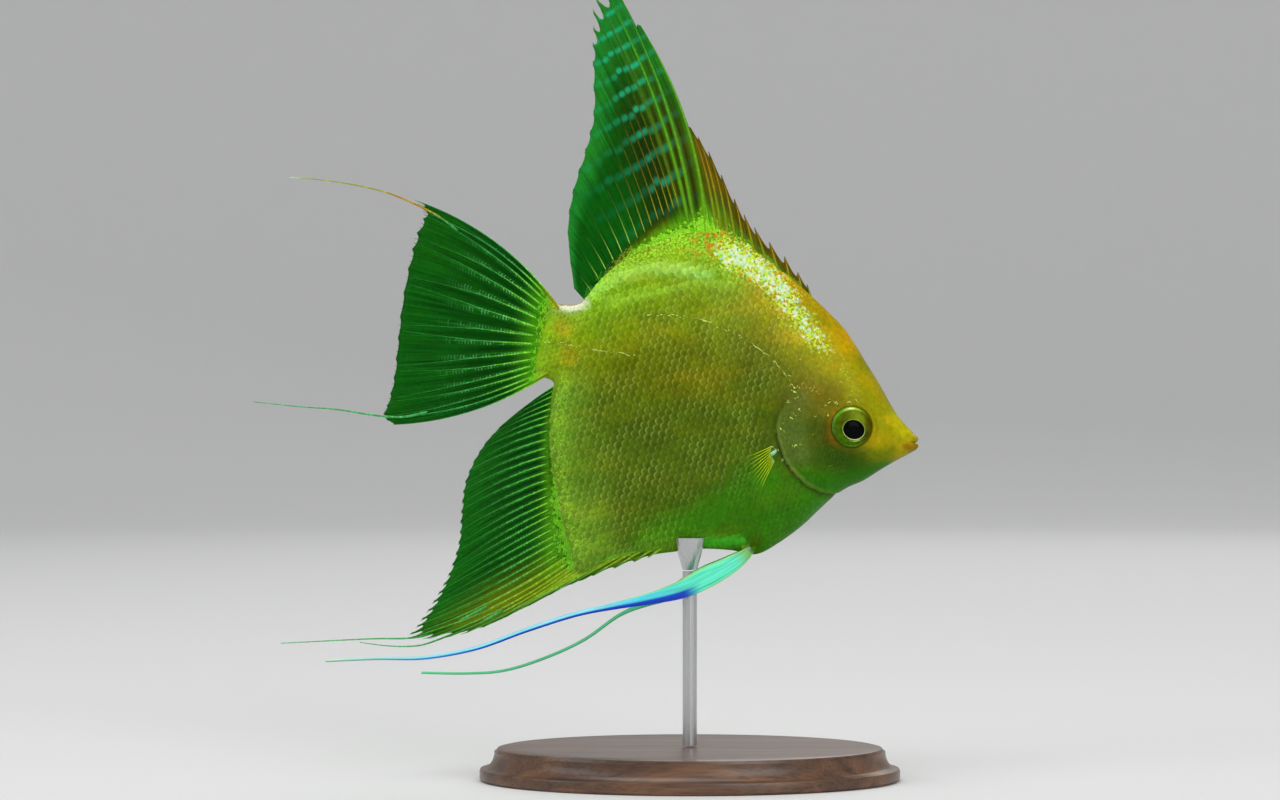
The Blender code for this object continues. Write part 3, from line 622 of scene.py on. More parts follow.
def make_skin():
    """The skin, and a finder for the point, normal and grid place under a side-on ray."""
    skin, grid = new_grid("skin", SKIN_COLUMNS, 2 * SKIN_ROWS, "OFBake")
    mesh = skin.data
    lay_uv(mesh, "OFBake", grid)
    tops = mesh.attributes.new("top", 'FLOAT', 'POINT')
    depths = []
    for vert, (u, v) in zip(mesh.vertices, grid):
        vert.co, top = skin_place(u, v)
        depths.append(top)
    tops.data.foreach_set("value", depths)
    merge_points(skin, 2e-6)
    mesh.update()

    placed, tints, marks = [], [], []
    for vert, top in zip(mesh.vertices, mesh.attributes["top"].data):
        x, _, z = vert.co
        height = (head_relief(x, z) if x > 0.58 else 0.0) * MM - COAT
        height += 0.05 * MM * noise.noise(vert.co * 18)
        placed.append(vert.co + vert.normal * height)
        tint, mark = flesh_paint(x, z, top.value)
        tints.append(tint)
        marks.append(mark)
    for vert, place in zip(mesh.vertices, placed):
        vert.co = place
    mesh.attributes.remove(mesh.attributes["top"])
    set_colours(mesh, tint=tints, marks=marks)
    mesh.shade_smooth()
    mesh.update()

    polygons = [tuple(p.vertices) for p in mesh.polygons]
    finder = BVHTree.FromPolygons([v.co.copy() for v in mesh.vertices], polygons)
    uvs = mesh.uv_layers["OFBake"].data
    centres = [sum((uvs[i].uv for i in p.loop_indices), Vector((0, 0))) / len(p.loop_indices)
               for p in mesh.polygons]
    finish_piece(skin, skin_material(), "skin", "head", "upper_jaw", "lower_jaw",
                 "gill_cover_left", "gill_cover_right", "trunk", "tail_stalk")
    return finder, centres


skin_finder, skin_uv = make_skin()


def on_skin(x, z, side):
    """(point, normal, polygon) on one side of the fish, seen square from that side."""
    start = Vector((x, side * 0.5, z))
    point, normal, polygon, _ = skin_finder.ray_cast(start, Vector((0, -side, 0)))
    return point, normal, polygon


# ---------------------------------------------------------------------------------------
# The scales: thin horny plates set in the skin like roof tiles, their free edges towards the
# tail. One plate is modelled and laid in staggered rows, large on the flank, smaller towards
# the back, belly, cheek and fin roots. The forehead, snout and lips are bare.
SCALE_PITCHES = {"large": 1.36, "middle": 1.00, "small": 0.74, "tiny": 0.50}   # mm
SCALE_PATCH = 0.003               # width of a scale's patch on the unwrap


def thicken(piece, thickness, offset=0, group=""):
    """Give a sheet its thickness: offset -1 under it, 0 to both sides."""
    bpy.ops.object.modifier_add(type='SOLIDIFY')
    solid = piece.modifiers[-1]
    solid.thickness = thickness
    solid.vertex_group = group
    solid.offset = offset
    bpy.ops.object.modifier_apply(modifier=solid.name)


def scale_plate():
    """One plate as (along, across, height) points in pitches, its faces, and its rim mask."""
    plate = new_grid("plate", 3, 4, "plate")[0]
    along = (-0.60, -0.10, 0.40, 0.66)
    width = (0.40, 0.54, 0.56, 0.50)
    lift = (-0.050, 0.018, 0.058, 0.064)
    rim = plate.data.attributes.new("rim", 'FLOAT', 'POINT')
    for vert, mask in zip(plate.data.vertices, rim.data):
        row = round((vert.co.x + 1) * 1.5)
        across = vert.co.y
        rounding = (0.0, 0.06, 0.26, 0.40)[row] * across * across
        vert.co = (along[row] - rounding, across * width[row],
                   lift[row] - 0.030 * across * across)
        mask.value = (0.0, 0.0, 0.20, 1.0)[row]
    thicken(plate, 0.06, -1)
    points = [v.co.copy() for v in plate.data.vertices]
    faces = [tuple(p.vertices) for p in plate.data.polygons]
    masks = [value.value for value in plate.data.attributes["rim"].data]
    mesh = plate.data
    bpy.data.objects.remove(plate)
    bpy.data.meshes.remove(mesh)
    return points, faces, masks


def wanted_pitch(x, z, top, bottom):
    """The size of the scales at a place, in millimetres, or 0 where the skin is bare."""
    if x < -0.004:
        return 0.0
    gill, gill_side, gill_part = nearest(GILL_EDGE, x, z)
    if x > 0.60 and (gill_side > 0 or gill_part >= 1.0) and gill_part > 0.02 and z < 0.09:
        around = math.hypot(x - EYE_X, z - EYE_Z)
        cheek, cheek_side, _ = nearest(CHEEK_EDGE, x, z)
        if cheek < 0.010 or gill < 0.008 or x > 0.835 or bottom < 0.045:
            return 0.0
        if cheek_side > 0:
            return 0.78 if around > EYE_RADIUS + 0.016 and x < 0.825 and z < 0.03 else 0.0
        return 1.05 if gill > 0.014 else 0.0
    if gill < 0.012 and gill_part > 0.1:
        return 0.0
    if math.hypot((x - PECTORAL_X) / 0.018, (z - PECTORAL_Z) / 0.030) < 1.0:
        return 0.0
    forehead = x - 0.72 + 0.25 * (z - 0.1)
    if forehead > 0 and z > 0.0:
        return 0.0
    pitch = 1.36
    if x > 0.50 and z > 0.0:
        pitch = min(pitch, 1.36 - 3.5 * ease(0.30, 0.10, top) * (x - 0.50))
    if x > 0.55 and z < -0.18:
        pitch = 1.05
    pitch = min(pitch, 0.48 + 6.5 * top, 0.50 + 14.0 * bottom)
    if x < 0.08:
        pitch = min(pitch, 0.95)
    return max(pitch, 0.45)


def coat_mesh(name, plate, scales):
    """Scales as one mesh. Each is (points, mirrored, tint, marks, lot, calm, corner of its UV)."""
    points, faces, rims = plate
    verts, polygons, tints, marks, details, uvs = [], [], [], [], [], []
    for placed, mirrored, tint, mark, lot, calm, (u, v) in scales:
        first = len(verts)
        verts += placed
        polygons += [tuple(first + i for i in (face[::-1] if mirrored else face)) for face in faces]
        tints += [tint] * len(points)
        marks += [mark] * len(points)
        details += [(rim, lot, calm) for rim in rims]
        uvs += [(u + a * SCALE_PATCH * 0.8, v + b * SCALE_PATCH * 0.9) for a, b, _ in points]
    coat = new_piece(name, verts, polygons)
    lay_uv(coat.data, "OFBake", uvs)
    set_colours(coat.data, tint=tints, marks=marks, detail=details)
    coat.data.shade_smooth()
    return coat


def lay_scales(name, pitch_name, side, plate, chance):
    """Staggered rows of one size of scale on one side, as one mesh."""
    pitch = SCALE_PITCHES[pitch_name]
    sizes = list(SCALE_PITCHES.values())
    step = pitch * MM
    scales = []
    for column in range(int(1.0 / (0.866 * step)) + 1):
        for row in range(int(1.1 / step) + 1):
            x = -0.02 + column * 0.866 * step + chance.uniform(-0.06, 0.06) * step
            z = -0.62 + (row + 0.5 * (column % 2)) * step + chance.uniform(-0.05, 0.05) * step
            point, normal, polygon = on_skin(x, z, side)
            if point is None or abs(normal.y) < 0.30:
                continue
            u, v = skin_uv[polygon]
            _, height, down, _ = rib_at(u, v)
            wanted = wanted_pitch(x, z, down * height, (1 - down) * height)
            if not wanted or min(sizes, key=lambda size: abs(size - wanted)) != pitch:
                continue
            slope = 0.35 * ease(0.45, 0.15, x) * ease(0.25, 0.02, (1 - down) * height)
            turn = slope * -0.9 + chance.uniform(-0.10, 0.10)
            cos, sin = math.cos(turn), math.sin(turn)
            size = step * chance.uniform(0.97, 1.05)
            placed = []
            for along, across, lift in plate[0]:
                px = x - (along * cos - across * sin) * size
                pz = z - (along * sin + across * cos) * size
                spot, facing, _ = on_skin(px, pz, side)
                if spot is None or abs(facing.y) < 0.12:
                    break
                placed.append(spot + facing * (lift * size))
            if len(placed) < len(plate[0]):
                continue
            lot = chance.random()
            calm = max(ease(0.56, 0.66, x), ease(-0.16, -0.30, z) * ease(0.40, 0.56, x))
            scales.append((placed, side > 0, *flesh_paint(x, z, down * height), lot, calm, (u, v)))
    coat = coat_mesh(name, plate, scales)
    coat.data.set_sharp_from_angle(angle=math.radians(50))
    return coat


def scale_material():
    material, tree, shader = new_material("golden_scales")
    paint = painted(tree, 0.8)
    rim, lot, calm = node(tree, "SeparateColor", {"Color": point_colour(tree, "detail")}).outputs
    # The free rim of each scale is painted up to half as bright again and paler than its centre:
    # painted glints along the scale edges, in patches, quieter on the head and breast.
    centre = fade(tree, rim, ranged(tree, lot, 0, 1, 0.82, 1.14), 1.50)
    quiet = ranged(tree, calm, 0, 1, 0, 0.75)
    toned = vector_maths(tree, 'SCALE', paint["Color"], fade(tree, quiet, centre, 1.0))
    capped = vector_maths(tree, 'MINIMUM', toned, (0.86, 0.92, 0.62))
    place = object_place(tree)
    glint_patches = ranged(tree, clouds(tree, place, 210.0), 0.38, 0.62, 0.20, 1.35)
    pale = product(tree, ranged(tree, rim, 0.10, 0.9, 0, 0.38),
                   maths(tree, 'SUBTRACT', 1.0, quiet), glint_patches)
    fill(tree, shader, {
        "Base Color": blend(tree, pale, capped, (0.40, 0.48, 0.11, 1)),
        "Roughness": ranged(tree, lot, 0, 1, 0.24, 0.42),
        "Normal": ripple(tree, clouds(tree, place, 4200.0), 0.3, 0.00003),
        "Specular IOR Level": 0.17, "Specular Tint": (1.0, 0.95, 0.30, 1.0),
        "Coat Weight": 0.02, "Coat Roughness": 0.10})
    return material


def make_scales():
    plate = scale_plate()
    finish = scale_material()
    chance = random.Random(7)
    for pitch_name in SCALE_PITCHES:
        for word, side in (("left", 1), ("right", -1)):
            coat = lay_scales(f"scales_{pitch_name}_{word}", pitch_name, side, plate, chance)
            finish_piece(coat, finish, "scaled_skin")


make_scales()


# ---------------------------------------------------------------------------------------
# The lateral line: a row of short pored tubes, one to a scale, high over the flank and again
# along the tail stalk. They are horn, painted far paler than the scales they sit on: partly
# their own colour and partly painted glints. Small clusters of them on the head are painted glints.
# Places on the head for small clusters of bright tubes: partly pores, partly painted glints.
HEAD_PORES_AND_GLINTS = [(0.628, 0.100, 0.9), (0.641, 0.123, 1.1), (0.654, 0.094, 0.8), (0.650, 0.031, 1.8),
              (0.681, 0.053, 1.3), (0.708, 0.049, 0.8), (0.727, 0.020, 1.1), (0.741, 0.037, 1.4),
              (0.757, 0.035, 1.8), (0.747, 0.002, 1.1), (0.713, -0.009, 0.7), (0.644, -0.064, 1.5),
              (0.653, -0.032, 1.3), (0.640, -0.046, 0.9), (0.673, -0.003, 1.2), (0.662, -0.018, 0.8),
              (0.682, -0.093, 1.4), (0.696, -0.089, 1.0), (0.722, -0.056, 0.9), (0.782, -0.121, 0.8),
              (0.754, 0.094, 0.8), (0.773, 0.088, 0.6), (0.799, 0.102, 0.9), (0.791, 0.050, 1.1),
              (0.805, 0.056, 0.9), (0.644, 0.039, 1.0), (0.654, 0.052, 1.0), (0.663, 0.062, 1.1),
              (0.676, 0.068, 1.0), (0.690, 0.061, 0.9), (0.697, 0.048, 1.0), (0.632, 0.052, 0.8),
              (0.620, 0.074, 0.9), (0.636, 0.012, 0.9), (0.700, 0.036, 0.7), (0.733, 0.027, 0.8),
              (0.748, 0.041, 0.9), (0.662, -0.138, 1.2), (0.641, -0.116, 1.0), (0.628, -0.112, 0.9)]
TUBE_RINGS = ((-1.0, 0.1), (-0.6, 0.8), (0.0, 1.0), (0.6, 0.8), (1.0, 0.1))
TUBE_SIDES = 6


def tube_faces(first, rings, sides):
    """The faces of a tube given as rings of points, with both its ends closed."""
    faces = []
    for ring in range(first, first + (rings - 1) * sides, sides):
        for k in range(sides):
            a, b = ring + k, ring + (k + 1) % sides
            faces.append((a, b, b + sides, a + sides))
    last = first + (rings - 1) * sides
    return faces + [tuple(range(first, first + sides))[::-1], tuple(range(last, last + sides))]


def add_tube(verts, faces, place, along, side, length, girth):
    """One pored tube lying on the scales, with closed ends."""
    across = Vector((-along.z, 0, along.x))
    spot, facing, _ = on_skin(*place, side)
    first = len(verts)
    for reach, swell in TUBE_RINGS:
        for k in range(TUBE_SIDES):
            turn = 2 * math.pi * k / TUBE_SIDES
            verts.append(spot + along * (length * reach)
                         + across * (girth * swell * math.cos(turn))
                         + facing * (0.16 * MM + girth * swell * math.sin(turn)))
    faces.extend(tube_faces(first, len(TUBE_RINGS), TUBE_SIDES))


def make_lateral_line():
    verts, faces = [], []
    chance = random.Random(3)
    for side in (1, -1):
        for line in (LATERAL_UPPER, LATERAL_REAR):
            length = sum(math.dist(a, b) for a, b in zip(line, line[1:]))
            count = int(length / (0.42 * MM))
            for number in range(count + 1):
                part = number / count * (len(line) - 1)
                x, z = curve_at(line, part)
                after = curve_at(line, min(part + 0.2, len(line) - 1))
                before = curve_at(line, max(part - 0.2, 0))
                along = Vector((after[0] - before[0], 0, after[1] - before[1])).normalized()
                z += chance.gauss(0, 0.11) * MM
                if chance.random() < 0.85:
                    add_tube(verts, faces, (x, z), along, side,
                             chance.uniform(0.10, 0.34) * MM, chance.uniform(0.06, 0.13) * MM)
        for x, z, size in HEAD_PORES_AND_GLINTS:
            for _ in range(3):
                turn = chance.uniform(0, math.pi)
                place = (x + chance.gauss(0, 0.0030) * size, z + chance.gauss(0, 0.0022) * size)
                add_tube(verts, faces, place, Vector((math.cos(turn), 0, math.sin(turn))), side,
                         chance.uniform(0.06, 0.24) * size * MM,
                         chance.uniform(0.05, 0.095) * size * MM)
    pores = new_piece("lateral_line", verts, faces)
    merge_points(pores, 1e-7)
    pores.data.shade_smooth()
    # The bright horn colour stands partly for painted glints.
    material, tree, shader = new_material("pored_horn_and_glints")
    glint = ranged(tree, clouds(tree, object_place(tree), 700.0, 1.0), 0.38, 0.62)
    fill(tree, shader, {
        "Base Color": blend(tree, glint, (0.260, 0.340, 0.006, 1), (0.740, 0.920, 0.200, 1)),
        "Roughness": 0.25, "Specular Tint": (1.0, 0.97, 0.60, 1.0)})
    finish_piece(pores, material, "scaled_skin")


make_lateral_line()


# ---------------------------------------------------------------------------------------
# The eyes: a green-gold iris stepped like a shallow dish round a black lens that bulges out
# through it, with a bright lip between them. Each is turned as one closed piece, set in its
# socket square to the skin round it, and wet all over.
EYE_PROFILE = [(0.00, 0.262), (0.16, 0.258), (0.30, 0.236), (0.40, 0.202), (0.446, 0.172),
               (0.462, 0.186), (0.480, 0.190), (0.505, 0.180), (0.60, 0.172), (0.70, 0.156),
               (0.78, 0.128), (0.83, 0.112), (0.87, 0.108), (0.92, 0.084), (0.96, 0.046),
               (0.99, 0.000), (1.00, -0.070), (0.96, -0.200), (0.80, -0.360), (0.50, -0.470),
               (0.00, -0.500)]
EYE_SEGMENTS = 96
EYE_PUPIL = 0.455
PUPIL_WIDE, PUPIL_HIGH = 1.16, 1.00
PUPIL_FORWARD, PUPIL_DOWN = 0.066, 0.104


def turned(name, profile, segments):
    """A profile of (radius, height) points turned round the Z axis."""
    piece = new_piece(name, [(radius, 0, height) for radius, height in profile], [],
                      [(i, i + 1) for i in range(len(profile) - 1)])
    bpy.ops.object.modifier_add(type='SCREW')
    screw = piece.modifiers[-1]
    screw.steps = screw.render_steps = segments
    screw.use_merge_vertices = True
    screw.merge_threshold = 1e-6
    bpy.ops.object.modifier_apply(modifier=screw.name)
    merge_points(piece, 1e-6)
    piece.data.shade_smooth()
    return piece


def eye_paint(radius, turn):
    """The colour of the eye at a part of its radius, turned from the snout up over the eye."""
    def facing(angle, width):
        return bell((turn - angle + math.pi) % (2 * math.pi) - math.pi, width)

    if radius < EYE_PUPIL:
        return 0.0015, 0.002, 0.002
    colour = glazed(
        (0.064, 0.088, 0.002),
        ((0.080, 0.118, 0.002), ease(0.60, 0.82, radius)),
        ((0.085, 0.062, 0.002), 0.85 * facing(0.35, 0.75) * ease(0.52, 0.62, radius)),
        ((0.240, 0.320, 0.008), 0.80 * facing(1.45, 0.70) * ease(0.86, 0.66, radius)),
        ((0.044, 0.175, 0.002), 0.90 * facing(-2.10, 0.95) * bell(radius - 0.720, 0.160)),
        ((0.034, 0.055, 0.001), 0.55 * bell(radius - 0.835, 0.022)),
        # Painted reflection: the bright green arc round the upper rear of the iris.
        ((0.050, 0.440, 0.008), 0.90 * facing(2.50, 0.80) * bell(radius - 0.915, 0.042)),
        ((0.080, 0.340, 0.015), 0.60 * facing(-1.30, 0.50) * bell(radius - 0.900, 0.035)),
        # Painted highlights: the pale arcs at the top of the iris, the bright crescent under the
        # pupil and the thin pale rim at the rear.
        ((0.620, 0.900, 0.050), 0.92 * facing(1.85, 0.50) * bell(radius - 0.875, 0.050)),
        ((0.900, 1.000, 0.350), 0.95 * facing(1.95, 0.18) * bell(radius - 0.890, 0.040)),
        ((0.600, 0.960, 0.160), 0.95 * facing(-1.15, 0.36) * bell(radius - 0.565, 0.040)),
        ((0.340, 0.620, 0.160), 0.80 * facing(3.05, 0.90) * bell(radius - 0.978, 0.018)),
        ((0.040, 0.050, 0.003), 0.80 if radius > 0.985 else 0.0))
    # The lip is pale all round and painted brighter towards the bottom front: a painted glint.
    lip = mixed((0.280, 0.400, 0.045), (0.860, 0.960, 0.380), facing(-1.3, 1.0))
    return mixed(lip, colour, ease(0.476, 0.496, radius))


def eye_material():
    """Wet coloured iris under one coat; the lens is nearly black."""
    material, tree, shader = new_material("wet_eye")
    cloud = ranged(tree, clouds(tree, object_place(tree), 1400.0, 4.0), 0.3, 0.7, 0.74, 1.26)
    fill(tree, shader, {
        "Base Color": vector_maths(tree, 'SCALE', point_colour(tree, "tint"), cloud),
        "Roughness": 0.22, "Specular IOR Level": 0.02, "Coat Weight": 0.03,
        "Coat Roughness": 0.03})
    return material


def make_eyes():
    finish = eye_material()
    profile = [(max(0.0, r) * EYE_RADIUS, h * EYE_RADIUS) for r, h in smooth_line(EYE_PROFILE, 3)]
    for word, side in (("left", 1), ("right", -1)):
        eye = turned("eye_" + word, profile, EYE_SEGMENTS)
        rim = []
        for k in range(12):
            turn = k * math.pi / 6
            rim.append(on_skin(EYE_X + 1.14 * EYE_RADIUS * math.cos(turn),
                               EYE_Z + 1.14 * EYE_RADIUS * math.sin(turn), side)[0])
        centre = sum(rim, Vector()) / len(rim)
        facing = sum(((rim[k] - centre).cross(rim[(k + 3) % 12] - centre) for k in range(12)),
                     Vector()).normalized()
        if facing.y * side < 0:
            facing = -facing
        facing.z *= 0.5
        facing.normalize()
        centre -= facing * (0.20 * MM)
        forward = Vector((1, 0, 0))
        forward = (forward - facing * forward.dot(facing)).normalized()
        up = facing.cross(forward)
        if up.z < 0:
            up = -up
        tints = []
        for vert in eye.data.vertices:
            x, y, height = vert.co
            radius = math.hypot(x, y) / EYE_RADIUS
            inner = ease(0.78, 0.50, radius)
            shown = radius if height > -0.1 * EYE_RADIUS else 1.0
            tints.append(eye_paint(shown, math.atan2(y, x)))
            x *= 1 + (PUPIL_WIDE - 1) * inner
            y *= 1 + (PUPIL_HIGH - 1) * inner
            x += PUPIL_FORWARD * EYE_RADIUS * inner
            y -= PUPIL_DOWN * EYE_RADIUS * inner
            vert.co = centre + forward * x + up * y + facing * height
        set_colours(eye.data, tint=tints)
        merge_points(eye, 1e-6)
        finish_piece(eye, finish, "eyes", "eye_" + word)


make_eyes()


# ---------------------------------------------------------------------------------------
# The unpaired fins: horny rays, forked towards their tips, with a thin web between them. The
# first rays of the dorsal and anal fins are stout single spines with free points. The web is
# tinted resin, and scales run a little way up the fins' roots.
WEB_COLUMNS = 6                   # columns of web from one ray to the next
WEB_THICKNESS = 0.16 * MM
ROOT_THICKNESS = 0.90 * MM        # where the web runs into the flesh
PLEAT = 0.10 * MM                 # how far the web folds to one side between two rays
RAY_TIP = 0.05 * MM               # radius of a ray where it ends
ROD_SIDES = 6
ROD_SHIFT = 7.31                  # sets the joints of one rod off from the next one's

# Key lines: root (x, z), tip (x, z), how far the line bows to its left as a part of its length,
# and how deep the web is notched behind it. The rays stand at places counted in key lines.
DORSAL_RAYS = [
    (0.629, 0.280, 0.610, 0.318, 0.00, 0.35),
    (0.570, 0.300, 0.534, 0.372, 0.00, 0.35),
    (0.495, 0.336, 0.439, 0.424, 0.02, 0.30),
    (0.429, 0.355, 0.369, 0.483, 0.02, 0.20),
    (0.385, 0.366, 0.273, 0.583, 0.03, 0.12),
    (0.352, 0.368, 0.211, 0.631, 0.04, 0.00),
    (0.342, 0.368, 0.196, 0.639, 0.034, 0.00),
    (0.333, 0.367, 0.107, 0.759, 0.050, 0.00),
    (0.325, 0.366, 0.017, 0.852, 0.065, 0.00),
    (0.312, 0.362, 0.002, 0.842, 0.052, 0.00),
    (0.299, 0.358, -0.070, 0.925, 0.048, 0.05),
    (0.278, 0.346, -0.116, 0.893, 0.035, 0.08),
    (0.257, 0.335, -0.100, 0.814, 0.03, 0.04),
    (0.228, 0.318, -0.077, 0.726, 0.03, 0.02),
    (0.196, 0.292, -0.042, 0.603, 0.03, 0.02),
    (0.163, 0.262, -0.037, 0.502, 0.03, 0.02),
    (0.130, 0.220, -0.040, 0.392, 0.03, 0.02),
    (0.102, 0.172, -0.024, 0.284, 0.02, 0.02),
    (0.080, 0.118, 0.030, 0.150, 0.00, 0.02),
]
DORSAL_PLACES = [place / 2 for place in (*range(11), 16, *range(20, 37))]
TAIL_RAYS = [
    (0.010, 0.088, -0.430, 0.262, 0.08, 0.05),
    (0.010, 0.074, -0.398, 0.232, 0.06, 0.02),
    (0.012, 0.056, -0.404, 0.168, 0.05, 0.02),
    (0.015, 0.036, -0.401, 0.087, 0.03, 0.01),
    (0.018, 0.014, -0.390, -0.020, 0.01, 0.01),
    (0.021, -0.008, -0.375, -0.112, -0.01, 0.01),
    (0.024, -0.030, -0.362, -0.197, -0.02, 0.01),
    (0.026, -0.050, -0.360, -0.262, -0.03, 0.01),
    (0.026, -0.068, -0.362, -0.300, -0.05, 0.01),
    (0.026, -0.080, -0.330, -0.314, -0.07, 0.01),
]
TAIL_PLACES = [place * 0.6 for place in range(16)]
ANAL_RAYS = [
    (0.064, -0.092, -0.009, -0.176, 0.02, 0.02),
    (0.072, -0.138, -0.061, -0.249, 0.03, 0.02),
    (0.083, -0.189, -0.095, -0.323, 0.04, 0.02),
    (0.098, -0.252, -0.109, -0.407, 0.04, 0.02),
    (0.118, -0.308, -0.099, -0.485, 0.04, 0.02),
    (0.138, -0.362, -0.085, -0.564, 0.03, 0.02),
    (0.160, -0.404, -0.089, -0.651, 0.02, 0.03),
    (0.186, -0.445, -0.108, -0.728, 0.00, 0.05),
    (0.208, -0.482, -0.132, -0.799, -0.03, 0.05),
    (0.226, -0.508, -0.140, -0.832, -0.05, 0.10),
    (0.238, -0.522, -0.051, -0.806, -0.04, 0.10),
    (0.254, -0.530, 0.033, -0.756, -0.02, 0.06),
    (0.290, -0.508, 0.135, -0.670, 0.00, 0.10),
    (0.332, -0.480, 0.224, -0.590, 0.00, 0.15),
    (0.380, -0.456, 0.320, -0.521, 0.00, 0.30),
    (0.432, -0.432, 0.396, -0.472, 0.00, 0.30),
]
ANAL_PLACES = [place / 3 for place in range(25)] + [place / 2 for place in range(17, 31)]
TAIL_FILAMENTS = [
    [(-0.300, 0.215), (-0.360, 0.238), (-0.430, 0.253), (-0.505, 0.262), (-0.590, 0.260),
     (-0.680, 0.250), (-0.765, 0.235)],
    [(-0.240, -0.250), (-0.305, -0.286), (-0.378, -0.303), (-0.482, -0.315), (-0.580, -0.334),
     (-0.702, -0.354)],
]
ANAL_FILAMENTS = [
    [(0.030, -0.700), (-0.045, -0.770), (-0.100, -0.814), (-0.153, -0.838), (-0.235, -0.862),
     (-0.350, -0.900), (-0.463, -0.938)],
    [(0.070, -0.700), (0.036, -0.735), (-0.010, -0.773), (-0.090, -0.833), (-0.135, -0.855),
     (-0.195, -0.871), (-0.266, -0.882)],
]


def dorsal_sway(x, z, out):
    return 0.030 * out * out + 0.006 * out * math.sin(22 * x)


def tail_sway(x, z, out):
    return 0.045 * out * out + 0.008 * out * math.sin(16 * z)


def anal_sway(x, z, out):
    return -0.020 * out * out + 0.007 * out * math.sin(18 * z)


def fin_point(keys, sway, place, out):
    """The point at the part `out` of the way out along the ray at a place between the keys."""
    root_x, root_z, tip_x, tip_z, bow = curve_at(keys, place)[:5]
    span_x, span_z = tip_x - root_x, tip_z - root_z
    bulge = 4 * bow * out * (1 - out)
    x = root_x + span_x * out + span_z * bulge
    z = root_z + span_z * out - span_x * bulge
    return Vector((x, sway(x, z, out), z))


def make_web(name, keys, sway, places, rows, paint):
    """The web of a fin, pleated from ray to ray, with a ray's number and reach as its map."""
    gaps = len(places) - 1
    web, grid = new_grid(name, gaps * WEB_COLUMNS, rows, "rays")
    mesh = web.data
    lay_uv(mesh, "rays", [(u * gaps, v) for u, v in grid])
    thick = web.vertex_groups.new(name="thickness")
    tints, marks = [], []
    for vert, (u, v) in zip(mesh.vertices, grid):
        number = u * gaps
        ray = min(int(number + 1e-6), gaps - 1)
        gap = max(0.0, number - ray)
        place = places[ray] + (places[ray + 1] - places[ray]) * gap
        notch = curve_at(keys, places[ray])[5]
        out = v * (1.0 - notch * abs(math.sin(math.pi * gap ** 0.7)) ** 0.8)
        vert.co = fin_point(keys, sway, place, out)
        fold = PLEAT if ray % 2 else -PLEAT
        vert.co.y += fold * math.sin(math.pi * gap) * min(1.0, 3 * out)
        part = WEB_THICKNESS / ROOT_THICKNESS
        thick.add([vert.index], part + (1 - part) * ease(0.17, 0.0, out), 'REPLACE')
        tint, mark = paint(place, out, gap)
        tints.append(tint)
        marks.append(mark)
    set_colours(mesh, tint=tints, marks=marks)
    thicken(web, ROOT_THICKNESS, 0, "thickness")
    mesh.shade_smooth()
    return web


def make_rods(name, rods):
    """Tapered rods as one mesh. A rod is a list of (point, radius, colour) from its root."""
    verts, faces, tints, lengths = [], [], [], []
    for number, rod in enumerate(rods):
        first = len(verts)
        run = 0.0
        for i, (point, radius, colour) in enumerate(rod):
            before, after = rod[max(i - 1, 0)][0], rod[min(i + 1, len(rod) - 1)][0]
            along = (after - before).normalized()
            across = Vector((-along.z, 0, along.x)).normalized()
            up = along.cross(across)
            run += (point - before).length / MM
            for k in range(ROD_SIDES):
                turn = 2 * math.pi * (k + 0.5) / ROD_SIDES
                verts.append(point + (across * math.cos(turn) + up * math.sin(turn)) * radius)
                tints.append(colour)
                lengths.append((number * ROD_SHIFT, run))
        faces.extend(tube_faces(first, len(rod), ROD_SIDES))
    piece = new_piece(name, verts, faces)
    lay_uv(piece.data, "rays", lengths)
    set_colours(piece.data, tint=tints)
    merge_points(piece, 1e-9)
    piece.data.shade_smooth()
    return piece


def forked_ray(keys, sway, place, radius, forks, colour, steps):
    """The rods of one ray. A fork is (where it starts, how far its two arms part, in keys)."""
    rods = []
    arms = [(1,) * len(forks)]
    starts = {arms[0]: -0.03}
    for level, (start, _) in enumerate(forks):
        for arm in list(arms):
            other = arm[:level] + (-1,) + arm[level + 1:]
            arms.append(other)
            starts[other] = start
    for arm in arms:
        rod = []
        count = max(6, int(steps * (1 - starts[arm])))
        for i in range(count + 1):
            out = starts[arm] + (1 - starts[arm]) * i / count
            where = place + sum(sign * spread * (max(0.0, out - start) / (1 - start)) ** 0.8
                                for sign, (start, spread) in zip(arm, forks))
            where = max(0.0, min(len(keys) - 1.0, where))
            thick = radius * (1 - out) ** 0.8
            for start, _ in forks:
                thick *= 1 - 0.30 * ease(start, start + 0.1, out)
            rod.append((fin_point(keys, sway, where, out), thick + RAY_TIP, colour(place, out)))
        rods.append(rod)
    return rods


def fin_rays(keys, sway, places, kinds, paint):
    """The rods of a fin. A kind of ray is (its last place, radius in mm, forks, steps)."""
    rods = []
    for place in places:
        radius, forks, steps = next(kind[1:] for kind in kinds if place <= kind[0])
        rods += forked_ray(keys, sway, place, radius * MM, forks, paint, steps)
    return rods


def filament(line, sway, radius, colour):
    """A trailing filament: one slim rod along (x, z) points, drifting sideways as it goes."""
    start = sway(line[0][0], line[0][1], 0.8)
    steps = (len(line) - 1) * 5
    rod = []
    for i in range(steps + 1):
        part = i / steps
        x, z = curve_at(line, part * (len(line) - 1))
        point = Vector((x, start + 0.05 * part * part, z))
        rod.append((point, radius * (1 - 0.72 * part) * MM, colour(part)))
    return rod


def rays_map(tree):
    """A fin's own map: the number of the ray, and how far out along it."""
    uv = node(tree, "UVMap", uv_map="rays").outputs["UV"]
    return uv, *node(tree, "SeparateXYZ", {"Vector": uv}).outputs[:2]


